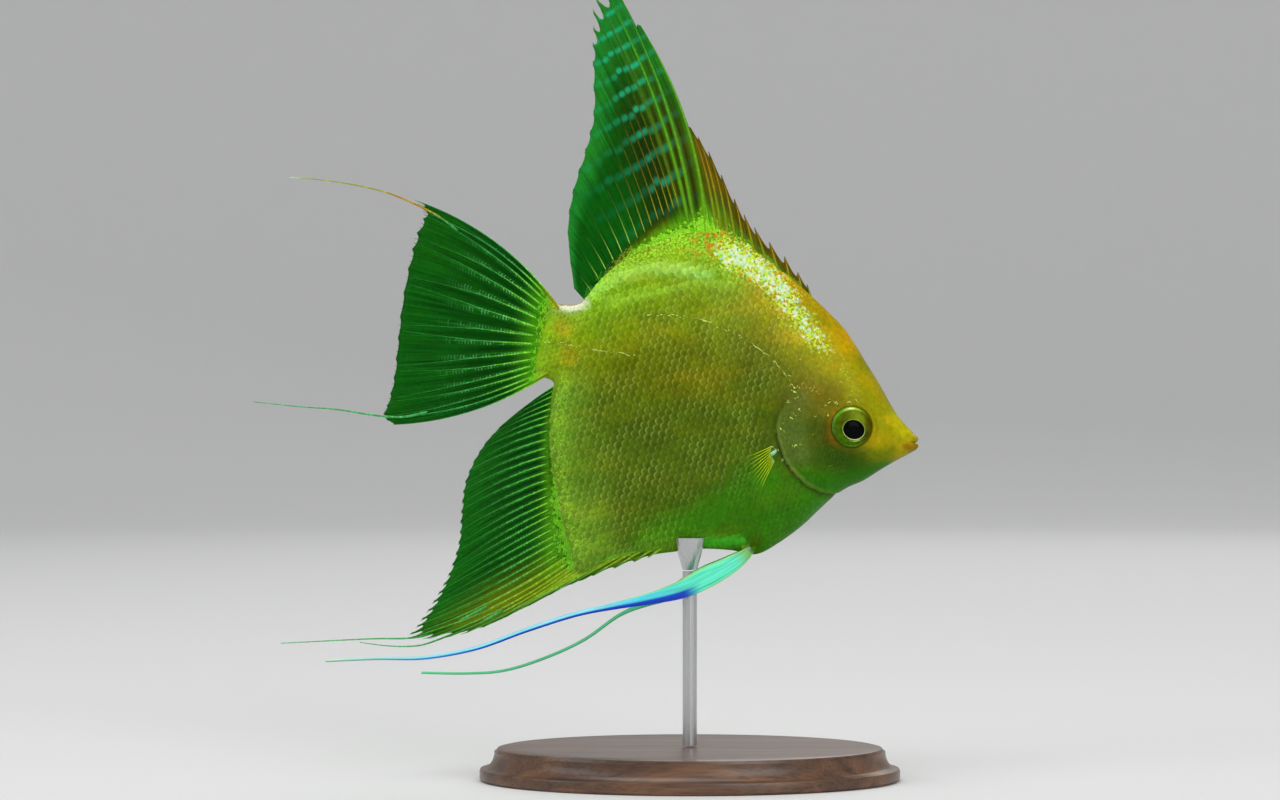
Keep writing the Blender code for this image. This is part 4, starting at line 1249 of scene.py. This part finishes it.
def ray_material(name, flash, cover):
    """Horn of the rays: its own tint; the bright dashes of its joints are partly painted glints."""
    material, tree, shader = new_material(name)
    tint = point_colour(tree, "tint")
    _, number, run = rays_map(tree)
    joint = ranged(tree, maths(tree, 'PINGPONG', run, 0.46), 0.08, 0.16)
    patchy = node(tree, "CombineXYZ", {"X": number, "Y": run}).outputs[0]
    patch = ranged(tree, clouds(tree, patchy, 0.9), 0.46, 0.60, 0.0, cover)
    flashed = vector_maths(tree, 'ADD', vector_maths(tree, 'MULTIPLY', tint, flash),
                           (0.01, 0.05, 0.02))
    fill(tree, shader, {
        "Base Color": blend(tree, product(tree, joint, patch), tint, flashed),
        "Normal": ripple(tree, joint, 0.4, 0.00004), "Roughness": 0.34,
        "Specular IOR Level": 0.18, "Specular Tint": (0.80, 1.0, 0.50, 1.0)})
    return material


def web_material(name, spotted=False, rungs=0, strand=0.45, clear=0.70, rough=0.35, bend=1.12):
    """Tinted clear web with fine strands. Some webs have rows of spots, or rungs in each ray."""
    material, tree, shader = new_material(name)
    colour = painted(tree, 0.9 * strand)["Color"]
    uv, number, out = rays_map(tree)
    fray = clouds(tree, vector_maths(tree, 'MULTIPLY', uv, (14.0, 2.0, 0.0)), 1.0, 3.0)
    level = ranged(tree, fray, 0.3, 0.7, 1 - strand, 1 + 0.93 * strand)
    colour = vector_maths(tree, 'SCALE', colour, level)
    if spotted:
        colour = spotted_web(tree, number, colour)
    if rungs:
        colour = runged_web(tree, uv, number, out, colour, rungs)
    fill(tree, shader, {"Base Color": colour, "Normal": ripple(tree, fray, 0.3, 0.00005),
                        "Roughness": rough, "IOR": bend, "Transmission Weight": clear})
    return material


def runged_web(tree, uv, number, out, colour, rungs):
    """Bright rungs across each ray, between its two arms, fading on the way out."""
    between = maths(tree, 'PINGPONG', number, 0.5)
    arm = maths(tree, 'MINIMUM', product(tree, out, 0.90), 0.19)
    inside = ranged(tree, maths(tree, 'SUBTRACT', arm, between), 0.0, 0.03)
    bars = maths(tree, 'PINGPONG', product(tree, out, rungs), 0.5)
    place = vector_maths(tree, 'MULTIPLY', uv, (2.3, 22.0, 0.0))
    mask = product(tree, inside, ranged(tree, bars, 0.24, 0.40),
                   ranged(tree, clouds(tree, place, 1.0), 0.42, 0.62),
                   ranged(tree, out, 0.08, 0.18), ranged(tree, out, 0.78, 0.35))
    return blend(tree, mask, colour, (0.240, 0.900, 0.320, 1))


def spotted_web(tree, number, colour):
    """Rows of turquoise spots, one between each two rays, over a web colour."""
    x, _, z = node(tree, "SeparateXYZ", {"Vector": object_place(tree)}).outputs
    level = maths(tree, 'SUBTRACT', maths(tree, 'MULTIPLY_ADD', x, SPOT_SLOPE, SPOT_TOP), z)
    phase = product(tree, level, maths(tree, 'MULTIPLY_ADD', level, -SPOT_WIDEN, SPOT_ROWS))
    cell = node(tree, "CombineXYZ", {"X": maths(tree, 'FLOOR', number),
                                     "Y": maths(tree, 'ROUND', phase)}).outputs[0]
    lot = node(tree, "TexWhiteNoise", {"Vector": cell}, noise_dimensions='2D').outputs["Color"]
    bright, offset, _ = node(tree, "SeparateColor", {"Color": lot}).outputs
    phase = maths(tree, 'ADD', phase, ranged(tree, offset, 0, 1, -0.09, 0.09))
    away = maths(tree, 'PINGPONG', phase, 0.5)
    between = maths(tree, 'PINGPONG', number, 0.5)
    away = maths(tree, 'SUBTRACT', away, product(tree, between, 0.10))
    spot = product(tree, ranged(tree, away, 0.17, 0.02), ranged(tree, between, 0.02, 0.16, 0.30, 1),
                   node(tree, "Attribute", attribute_name="spots").outputs["Fac"],
                   ranged(tree, bright, 0, 1, 0.35, 1.0))
    return blend(tree, spot, colour, (0.030, 0.700, 0.320, 1))


FIN_SCALE_PITCH = 0.50            # mm
FIN_SCALE_FINISH = scale_material()


def lay_fin_scales(name, keys, sway, limit, paint, chance):
    """Small scales that run from the flesh a little way up a fin's root, on both its sides."""
    plate = scale_plate()
    scales = []
    place = 0.15
    column = 0
    step = FIN_SCALE_PITCH * MM
    while place < len(keys) - 1.15:
        near, far = fin_point(keys, sway, place, 0.0), fin_point(keys, sway, place + 0.1, 0.0)
        key_width = max(0.004, (far - near).length * 10)
        reach = (fin_point(keys, sway, place, 0.3) - near).length / 0.3
        top = limit(place) * MM / reach
        for row in range(-3, int(top * reach / step) + 1):
            out = (row + 0.5 * (column % 2)) * step / reach
            if out > 0.5 * top and chance.random() < 0.75 * (out / top - 0.5) * 2:
                continue
            lot = chance.random()
            for side in (1, -1):
                placed = []
                for along, across, lift in plate[0]:
                    here = max(0.0, min(len(keys) - 1.0, place + across * step / key_width))
                    there = out + along * step / reach
                    spot = fin_point(keys, sway, here, there)
                    part = WEB_THICKNESS + (ROOT_THICKNESS - WEB_THICKNESS) * ease(0.17, 0.0, there)
                    spot.y += side * (0.5 * part + (lift + 0.03) * step)
                    placed.append(spot)
                scales.append((placed, side < 0, *paint(place, max(0.0, out), 0.5), lot, 0.0,
                               (place / len(keys), 0.5 + side * (0.1 + out))))
        place += 0.90 * step / key_width
        column += 1
    coat = coat_mesh(name, plate, scales)
    merge_points(coat, 1e-9)
    finish_piece(coat, FIN_SCALE_FINISH, "scaled_skin")


# The dorsal fin. Its rows of spots rise to the front and stand further apart downwards. Stout
# green rays run up its front with reddish web between them, behind orange spines.
SPOT_SLOPE, SPOT_TOP = 0.601, 0.1357
SPOT_ROWS, SPOT_WIDEN = 238.3, 1343.0


def dorsal_web_paint(place, out, gap):
    between = abs(math.sin(math.pi * gap))
    band = ease(11.6, 12.6, place) * ease(17.2, 15.5, place) * bell(out - 0.075, 0.040)
    front = ease(5.2, 7.6, place) * ease(11.8, 10.8, place)
    ribbon = mixed((0.120, 0.360, 0.006), (0.045, 0.340, 0.020), ease(0.30, 0.85, out))
    gulf = mixed((0.062, 0.060, 0.002), (0.016, 0.200, 0.010), ease(0.45, 0.80, out))
    spines = ease(5.2, 4.7, place)
    high = ease(9.5, 7.0, place) * ease(4.6, 5.6, place)
    root = ease(0.13 + 0.20 * high, 0.05 + 0.07 * high, out)
    root = max(root, 0.45 * ease(5.4, 4.8, place) * ease(0.50, 0.20, out))
    root *= ease(16.8, 14.0, place)
    colour = glazed(
        (0.006, 0.175, 0.006),
        ((0.022, 0.066, 0.002), ease(15.0, 12.4, place) * ease(0.85, 0.45, out)),
        ((0.190, 0.080, 0.002), 0.9 * band),
        (mixed(ribbon, gulf, between ** 2.2), front),
        ((0.160, 0.190, 0.002), 0.95 * ease(4.9, 5.1, place) * ease(7.8, 6.6, place)),
        ((0.030, 0.430, 0.045), 0.9 * ease(0.70, 0.95, out) * ease(8.0, 9.0, place)),
        ((0.140, 0.150, 0.003), spines),
        ((0.220, 0.160, 0.002), 0.8 * spines * ease(0.35, 0.80, out)),
        ((0.200, 0.700, 0.006), root))
    return colour, (0.0, root, 0.2 * root)


def dorsal_ray_paint(place, out):
    if place <= 5.0:
        return glazed((0.200, 0.260, 0.005), ((0.360, 0.200, 0.004), ease(0.30, 0.75, out)),
                      ((0.160, 0.230, 0.010), 0.7 * ease(0.88, 1.0, out)))
    if place <= 10.6:
        return glazed((0.110, 0.330, 0.006), ((0.045, 0.340, 0.020), ease(0.20, 0.75, out)),
                      ((0.190, 0.360, 0.006), 0.4 * ease(8.6, 8.1, place)))
    rear = mixed((0.340, 0.560, 0.060), (0.024, 0.140, 0.010), ease(0.12, 0.50, out))
    return glazed((0.380, 0.360, 0.010), ((0.160, 0.125, 0.004), ease(0.10, 0.32, out)),
                  ((0.100, 0.110, 0.005), 0.8 * ease(0.40, 0.75, out)),
                  (rear, ease(13.2, 15.5, place)),
                  ((0.150, 0.260, 0.020), 0.8 * ease(0.75, 0.98, out) * ease(13.0, 12.0, place)))


def make_dorsal_fin():
    web = make_web("dorsal_web", DORSAL_RAYS, dorsal_sway, DORSAL_PLACES, 44, dorsal_web_paint)
    shown = web.data.attributes.new("spots", 'FLOAT', 'POINT')
    for uv_loop, loop in zip(web.data.uv_layers["rays"].data, web.data.loops):
        number, out = uv_loop.uv
        place = curve_at([(place,) for place in DORSAL_PLACES], number)[0]
        strength = ease(10.0, 10.6, place) * ease(16.4, 14.4, place)
        tip = 0.12 + 0.40 * ease(0.60, 0.80, out)
        strength = max(strength, tip * ease(7.6, 8.4, place) * ease(11.0, 10.4, place))
        strength *= (0.25 + 0.75 * ease(14.4, 11.4, place)) * ease(0.10, 0.20, out)
        shown.data[loop.vertex_index].value = strength * (0.55 + 0.45 * ease(0.15, 0.60, out))
    finish_piece(web, web_material("dorsal_web", spotted=True), "fins")
    kinds = [(5.0, 0.30, [], 12), (10.6, 0.36, [], 30), (18.0, 0.10, [(0.55, 0.05)], 26)]
    rays = make_rods("dorsal_rays", fin_rays(DORSAL_RAYS, dorsal_sway, DORSAL_PLACES, kinds,
                                             dorsal_ray_paint))
    finish_piece(rays, ray_material("dorsal_ray_horn", (1.4, 1.5, 1.2), 0.35), "fins", "dorsal_fin")
    lay_fin_scales("dorsal_root_scales", DORSAL_RAYS, dorsal_sway,
                   lambda place: 2.3 + 3.4 * bell(place - 7.0, 3.2), dorsal_web_paint,
                   random.Random(21))


make_dorsal_fin()


# The tail fin: forked rays in a wide fan, with a streamer from its upper and its lower horn.
def tail_web_paint(place, out, gap):
    between = abs(math.sin(math.pi * gap)) ** 1.5
    root = ease(0.30, 0.04, out) * (1.0 - 0.35 * between * ease(0.03, 0.16, out))
    sheath = mixed((0.300, 0.400, 0.005), (0.185, 0.860, 0.010), ease(0.03, 0.16, out))
    colour = glazed((0.010, 0.200, 0.009),
                    ((0.003, 0.085, 0.003), between * ease(1.10, 0.35, out)), (sheath, root),
                    ((0.420, 0.200, 0.006), 0.6 * ease(0.8, 0.2, place) * ease(0.20, 0.06, out)))
    return colour, (0.0, 0.8 * root, 0.6 * root)


def tail_ray_paint(place, out):
    edge = max(ease(1.6, 0.4, place), ease(7.6, 8.6, place))
    return glazed((0.380, 0.620, 0.008), ((0.170, 0.600, 0.045), ease(0.08, 0.22, out)),
                  ((0.034, 0.280, 0.040), ease(0.26, 0.50, out)),
                  ((0.010, 0.150, 0.012), ease(0.50, 0.80, out)),
                  ((0.050, 0.340, 0.090), 0.9 * edge * ease(0.2, 0.5, out)))


def upper_streamer_paint(part):
    return glazed((0.050, 0.280, 0.050), ((0.420, 0.220, 0.008), ease(0.10, 0.28, part)),
                  ((0.300, 0.360, 0.020), ease(0.40, 0.60, part)),
                  ((0.440, 0.640, 0.240), ease(0.85, 1.0, part)))


def lower_streamer_paint(part):
    return mixed((0.050, 0.320, 0.070), (0.070, 0.380, 0.120), part)


def make_tail_fin():
    web = make_web("tail_web", TAIL_RAYS, tail_sway, TAIL_PLACES, 30, tail_web_paint)
    finish_piece(web, web_material("tail_web", rungs=50.0, strand=0.55), "fins")
    kinds = [(0.1, 0.11, [], 34), (8.9, 0.11, [(0.01, 0.11), (0.48, 0.11)], 34),
             (9.1, 0.11, [], 34)]
    rods = fin_rays(TAIL_RAYS, tail_sway, TAIL_PLACES, kinds, tail_ray_paint)
    rods.append(filament(TAIL_FILAMENTS[0], tail_sway, 0.26, upper_streamer_paint))
    rods.append(filament(TAIL_FILAMENTS[1], tail_sway, 0.28, lower_streamer_paint))
    rays = make_rods("tail_rays", rods)
    finish_piece(rays, ray_material("tail_ray_horn", (1.6, 1.7, 2.2), 0.8), "fins", "tail_fin")
    lay_fin_scales("tail_root_scales", TAIL_RAYS, tail_sway,
                   lambda place: 3.4 + 1.8 * abs(place - 4.5) / 4.5, tail_web_paint,
                   random.Random(22))


make_tail_fin()


# The anal fin: soft rays swept back and down, and stout golden rays crowded at its front edge.
def anal_web_paint(place, out, gap):
    between = abs(math.sin(math.pi * gap))
    golden = mixed((0.200, 0.440, 0.012), (0.170, 0.200, 0.004), 0.8 * between)
    root = ease(0.22, 0.09, out) + ease(4.0, 8.5, place) * ease(0.32, 0.10, out)
    root = min(1.0, root)
    colour = glazed((0.014, 0.210, 0.010),
                    ((0.003, 0.080, 0.003), between ** 1.5 * ease(1.1, 0.4, out)),
                    (golden, ease(6.8, 9.2, place) * ease(1.05, 0.55, out)),
                    ((0.120, 0.430, 0.010), root))
    return colour, (0.0, 0.5 * root, 0.3 * root)


def anal_ray_paint(place, out):
    golden = mixed((0.240, 0.380, 0.008), (0.100, 0.400, 0.060), ease(0.35, 0.85, out))
    return glazed((0.200, 0.600, 0.010), ((0.080, 0.480, 0.045), ease(0.12, 0.40, out)),
                  ((0.020, 0.230, 0.030), ease(0.40, 0.85, out)),
                  (golden, ease(7.0, 9.2, place)))


def anal_streamer_paint(part):
    return mixed((0.060, 0.340, 0.060), (0.090, 0.400, 0.150), part)


def make_anal_fin():
    web = make_web("anal_web", ANAL_RAYS, anal_sway, ANAL_PLACES, 26, anal_web_paint)
    finish_piece(web, web_material("anal_web", rungs=44.0, strand=0.55), "fins")
    kinds = [(8.4, 0.10, [(0.45, 0.05)], 26), (11.9, 0.28, [(0.55, 0.08)], 26),
             (15.0, 0.30, [], 14)]
    rods = fin_rays(ANAL_RAYS, anal_sway, ANAL_PLACES, kinds, anal_ray_paint)
    for line in ANAL_FILAMENTS:
        rods.append(filament(line, anal_sway, 0.28, anal_streamer_paint))
    rays = make_rods("anal_rays", rods)
    finish_piece(rays, ray_material("anal_ray_horn", (1.4, 1.5, 1.8), 0.8), "fins", "anal_fin")
    lay_fin_scales("anal_root_scales", ANAL_RAYS, anal_sway,
                   lambda place: 0.8 + 4.2 * bell(place - 9.3, 4.0), anal_web_paint,
                   random.Random(23))


make_anal_fin()


# ---------------------------------------------------------------------------------------
# The pelvic fins: a short ribbed blade under the breast that narrows to one long trailing
# filament. The rays lie packed side by side, sky-blue, paler above as a painted highlight and
# deep blue along the keel, partly their own blue and partly painted shade underneath.
# Points run from root to tip: x, y outward, z and width.
PELVIC_RIGHT = [
    (0.655, 0.004, -0.362, 0.010), (0.637, 0.026, -0.398, 0.030), (0.602, 0.044, -0.437, 0.046),
    (0.552, 0.056, -0.482, 0.055), (0.498, 0.062, -0.528, 0.046), (0.424, 0.066, -0.572, 0.030),
    (0.345, 0.068, -0.612, 0.022),
    (0.250, 0.066, -0.662, 0.014), (0.140, 0.062, -0.734, 0.012), (0.032, 0.056, -0.810, 0.010),
    (-0.090, 0.050, -0.869, 0.009), (-0.210, 0.045, -0.904, 0.008), (-0.334, 0.042, -0.944, 0.008),
]
PELVIC_LEFT = [
    (0.655, 0.004, -0.362, 0.010), (0.637, 0.028, -0.398, 0.028), (0.600, 0.047, -0.439, 0.043),
    (0.548, 0.062, -0.486, 0.050), (0.490, 0.072, -0.540, 0.038), (0.430, 0.078, -0.588, 0.024),
    (0.364, 0.082, -0.642, 0.016),
    (0.292, 0.084, -0.728, 0.012), (0.203, 0.084, -0.802, 0.011), (0.112, 0.084, -0.859, 0.010),
    (0.018, 0.082, -0.892, 0.009), (-0.093, 0.080, -0.920, 0.008),
]
PELVIC_STEPS = 14                 # rings to each interval between points
PELVIC_SIDES = 40
PELVIC_RIBS = 5                   # rays packed side by side in the blade


def pelvic_fin(name, points, side, far):
    rings = (len(points) - 1) * PELVIC_STEPS
    verts, tints, lengths = [], [], []
    run = 0.0
    last = None
    for i in range(rings + 1):
        x, y, z, width = curve_at(points, i / PELVIC_STEPS)
        before = curve_at(points, max(i - 1, 0) / PELVIC_STEPS)
        after = curve_at(points, min(i + 1, rings) / PELVIC_STEPS)
        along = Vector((after[0] - before[0], 0, after[2] - before[2])).normalized()
        across = Vector((-along.z, 0, along.x))
        middle = Vector((x, side * y, z))
        run += (middle - last).length / MM if last else 0.0
        last = middle
        part = i / rings
        blade = ease(0.013, 0.030, width)
        slim = 0.0115 - 0.0050 * part if far else 0.0215 - 0.0140 * part
        wide = 0.5 * (width * blade + slim * (1 - blade))
        thick = (0.22 * blade + (0.28 - 0.11 * part) * (1 - blade)) * MM
        thick += 0.10 * MM * ease(0.05, 0.0, part)
        for k in range(PELVIC_SIDES):
            turn = 2 * math.pi * k / PELVIC_SIDES
            level = math.cos(turn)
            ridge = 1 + 0.40 * blade * math.cos(2 * math.pi * PELVIC_RIBS * 0.5 * (level + 1))
            verts.append(middle + across * (-wide * level)
                         + Vector((0, thick * math.sin(turn) * ridge, 0)))
            tints.append(pelvic_paint(part, level, blade, far))
            lengths.append((k / PELVIC_SIDES, run))
    fin = new_piece(name, verts, tube_faces(0, rings + 1, PELVIC_SIDES))
    lay_uv(fin.data, "rays", lengths)
    set_colours(fin.data, tint=tints)
    merge_points(fin, 1e-9)
    fin.data.shade_smooth()
    return fin


def pelvic_paint(part, level, blade, far):
    """Level is 1 at the blade's upper edge and -1 at its keel."""
    if far:
        colour = mixed((0.100, 0.680, 0.340), (0.150, 0.780, 0.360), part)
        # The far fin is painted darker along its keel: painted shade underneath.
        return mixed(colour, (0.020, 0.240, 0.130), 0.6 * ease(-0.2, -0.9, level))
    blade_tint = mixed((0.240, 0.600, 0.140), (0.125, 0.930, 0.620), ease(0.06, 0.15, part))
    edge = ease(0.70, 0.95, level) + ease(0.80, 0.97, -level) * ease(0.30, 0.24, part)
    keel = ease(0.05, -0.35, level) * ease(0.27, 0.33, part)
    return glazed((0.030, 0.150, 0.002), (blade_tint, ease(0.045, 0.070, part)),
                  ((0.090, 0.760, 0.960), ease(0.27, 0.46, part)),
                  ((0.480, 0.780, 0.400), ease(0.78, 1.0, part)),
                  ((0.360, 0.820, 0.140), 0.8 * edge * blade),
                  # The pale upper side of the filament is a painted highlight, and the deep blue
                  # keel is partly painted shade.
                  ((0.700, 0.960, 0.980), 0.6 * (1 - blade) * bell(level - 0.45, 0.35)),
                  ((0.004, 0.035, 0.620), keel * (0.97 - 0.6 * ease(0.70, 1.0, part))))


def pelvic_material():
    material, tree, shader = new_material("pelvic_blue")
    uv = vector_maths(tree, 'MULTIPLY', rays_map(tree)[0], (34.0, 0.14, 0.0))
    strands = clouds(tree, uv, 1.0, 3.0)
    level = ranged(tree, strands, 0.3, 0.7, 0.72, 1.2)
    tint = vector_maths(tree, 'SCALE', point_colour(tree, "tint"), level)
    fill(tree, shader, {"Base Color": tint,
                        "Normal": ripple(tree, strands, 0.4, 0.00006), "Roughness": 0.30,
                        "Specular IOR Level": 0.25})
    return material


def make_pelvic_fins():
    finish = pelvic_material()
    for word, points, side in (("right", PELVIC_RIGHT, -1), ("left", PELVIC_LEFT, 1)):
        fin = pelvic_fin("pelvic_fin_blade_" + word, points, side, side > 0)
        finish_piece(fin, finish, "pelvic_fins", "pelvic_fin_" + word)


make_pelvic_fins()


# ---------------------------------------------------------------------------------------
# The pectoral fins: a half-spread fan of fine yellow rays in clear web, on a pad of flesh
# behind the gill cover whose pearly top is a painted glint.
PECTORAL_BASE = Vector((0.637, 0.080, -0.124))
PECTORAL_LEADING = Vector((-0.035, 0.110, -0.155))
PECTORAL_TRAILING = Vector((-0.105, 0.090, -0.085))
PECTORAL_RAYS = 10


def pectoral_point(turn, out, side):
    ray = PECTORAL_LEADING.lerp(PECTORAL_TRAILING, turn) * (1 + 0.16 * math.sin(math.pi * turn))
    root = PECTORAL_BASE + Vector((-0.014, 0.004, 0.030)) * (turn - 0.5)
    facing = PECTORAL_LEADING.cross(PECTORAL_TRAILING).normalized()
    point = root + ray * out + facing * (0.03 * out * out)
    point.y *= side
    return point


def pectoral_web_paint(out):
    return mixed((0.800, 0.860, 0.300), (0.990, 0.995, 0.980), ease(0.02, 0.40, out))


def pectoral_ray_paint(out):
    colour = mixed((0.420, 0.720, 0.240), (0.460, 0.600, 0.008), ease(0.02, 0.12, out))
    return mixed(colour, (0.060, 0.130, 0.003), ease(0.30, 0.66, out))


def make_pectoral_fins():
    web_finish = web_material("pectoral_web", strand=0.02, clear=1.0, rough=0.0, bend=1.0)
    ray_finish = ray_material("pectoral_ray_horn", (1.3, 1.2, 1.0), 0.3)
    pad_finish = skin_material()
    for word, side in (("left", 1), ("right", -1)):
        gaps = PECTORAL_RAYS - 1
        web, grid = new_grid("pectoral_web_" + word, gaps * 3, 18, "rays")
        lay_uv(web.data, "rays", [(u * gaps, v) for u, v in grid])
        tints = []
        for vert, (u, v) in zip(web.data.vertices, grid):
            gap = abs(math.sin(math.pi * u * gaps))
            out = v * (1 - 0.03 * gap)
            vert.co = pectoral_point(u, out, side)
            tints.append(pectoral_web_paint(out))
        set_colours(web.data, tint=tints, marks=[(0, 0, 0)] * len(tints))
        thicken(web, 0.10 * MM)
        web.data.shade_smooth()
        merge_points(web, 1e-7)
        finish_piece(web, web_finish, "pectoral_fins")
        rods = []
        for number in range(PECTORAL_RAYS):
            turn = number / gaps
            for arm, start in ((1, 0.0), (-1, 0.55)):
                rod = []
                for i in range(19):
                    out = start + (1.0 - start) * i / 18
                    where = max(0.0, min(1.0, turn + arm * 0.022 * ease(0.55, 1.0, out)))
                    thick = (0.10 * (1 - out) ** 1.3 + 0.018) * MM
                    rod.append((pectoral_point(where, out, side), thick, pectoral_ray_paint(out)))
                rods.append(rod)
        rays = make_rods("pectoral_rays_" + word, rods)
        finish_piece(rays, ray_finish, "pectoral_fins", "pectoral_fin_" + word)
        pad = new_primitive("pectoral_pad_" + word, bpy.ops.mesh.primitive_uv_sphere_add,
                            segments=24, ring_count=12, radius=0.5)
        tints = []
        for vert in pad.data.vertices:
            # The pad is painted pale towards its top: a painted glint.
            tints.append(mixed((0.260, 0.480, 0.040), (0.420, 0.740, 0.560),
                               ease(-0.25, 0.10, vert.co.z)))
            vert.co = Vector((0.013 * vert.co.x, 0.015 * vert.co.y, 0.024 * vert.co.z))
            vert.co += PECTORAL_BASE + Vector((0.5 * vert.co.z - 0.003, 0.006, -0.004))
            vert.co.y *= side
        if side < 0:
            pad.data.flip_normals()
        set_colours(pad.data, tint=tints, marks=[(0.25, 0, 0)] * len(tints))
        pad.data.shade_smooth()
        finish_piece(pad, pad_finish, "pectoral_fins")


make_pectoral_fins()


# ---------------------------------------------------------------------------------------
# The stand: an oval of stained walnut with a moulded edge, a brushed steel rod let into it,
# and a small steel cup that carries the belly. The base is turned and drawn out to an oval.
# Rod and cup are the solids themselves, with a steel finish.
def stretched_clouds(tree, scale, detail, distortion=0.0):
    """Noise drawn out by a scale along each axis, for grain and brushing."""
    place = node(tree, "Mapping", {"Vector": object_place(tree), "Scale": scale}).outputs[0]
    return node(tree, "TexNoise", {"Vector": place, "Scale": 1.0, "Detail": detail,
                                   "Distortion": distortion}).outputs["Fac"]


def wood_material():
    material, tree, shader = new_material("stained_walnut")
    grain = ranged(tree, stretched_clouds(tree, (14.0, 260.0, 260.0), 5.0, 0.8), 0.30, 0.72)
    grain = blend(tree, grain, (0.050, 0.020, 0.009, 1), (0.190, 0.085, 0.036, 1))
    pores = stretched_clouds(tree, (90.0, 2600.0, 2600.0), 2.0)
    dark = ranged(tree, pores, 0.35, 0.55, 0.62, 1.05)
    fill(tree, shader, {"Base Color": vector_maths(tree, 'SCALE', grain, dark),
                        "Normal": ripple(tree, pores, 0.25, 0.00008), "Roughness": 0.42,
                        "Coat Weight": 0.35, "Coat Roughness": 0.20})
    return material


def steel_material():
    material, tree, shader = new_material("brushed_steel")
    brushing = stretched_clouds(tree, (6000.0, 6000.0, 120.0), 2.0)
    fill(tree, shader, {"Base Color": (0.55, 0.55, 0.56, 1.0), "Metallic": 1.0,
                        "Roughness": ranged(tree, brushing, 0.3, 0.7, 0.22, 0.40),
                        "Normal": ripple(tree, brushing, 0.2, 0.00003)})
    return material


def make_stand():
    low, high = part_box("stand_base")
    length, width, height = high - low
    profile = [(0.0, 1.0), (0.80, 1.0), (0.895, 1.0), (0.915, 0.97), (0.922, 0.88)]
    for i in range(9):
        turn = 0.5 * math.pi * i / 8
        profile.append((0.930 + 0.055 * (1 - math.cos(turn)), 0.88 - 0.50 * math.sin(turn)))
    profile += [(0.996, 0.36), (1.0, 0.30), (1.0, 0.08), (0.990, 0.015), (0.975, 0.0), (0.0, 0.0)]
    base = turned("stand_base_turned", profile, 128)
    for vert in base.data.vertices:
        x, y, z = vert.co
        vert.co = (x * length / 2, y * width / 2, low.z + z * height)
    base.data.materials.append(wood_material())
    base.data.set_sharp_from_angle(angle=math.radians(35))
    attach(base, "root")
    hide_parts("stand_base")
    steel = steel_material()
    for name in ("stand_rod", "stand_cradle"):
        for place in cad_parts[name].material_slots:
            place.material = steel


make_stand()
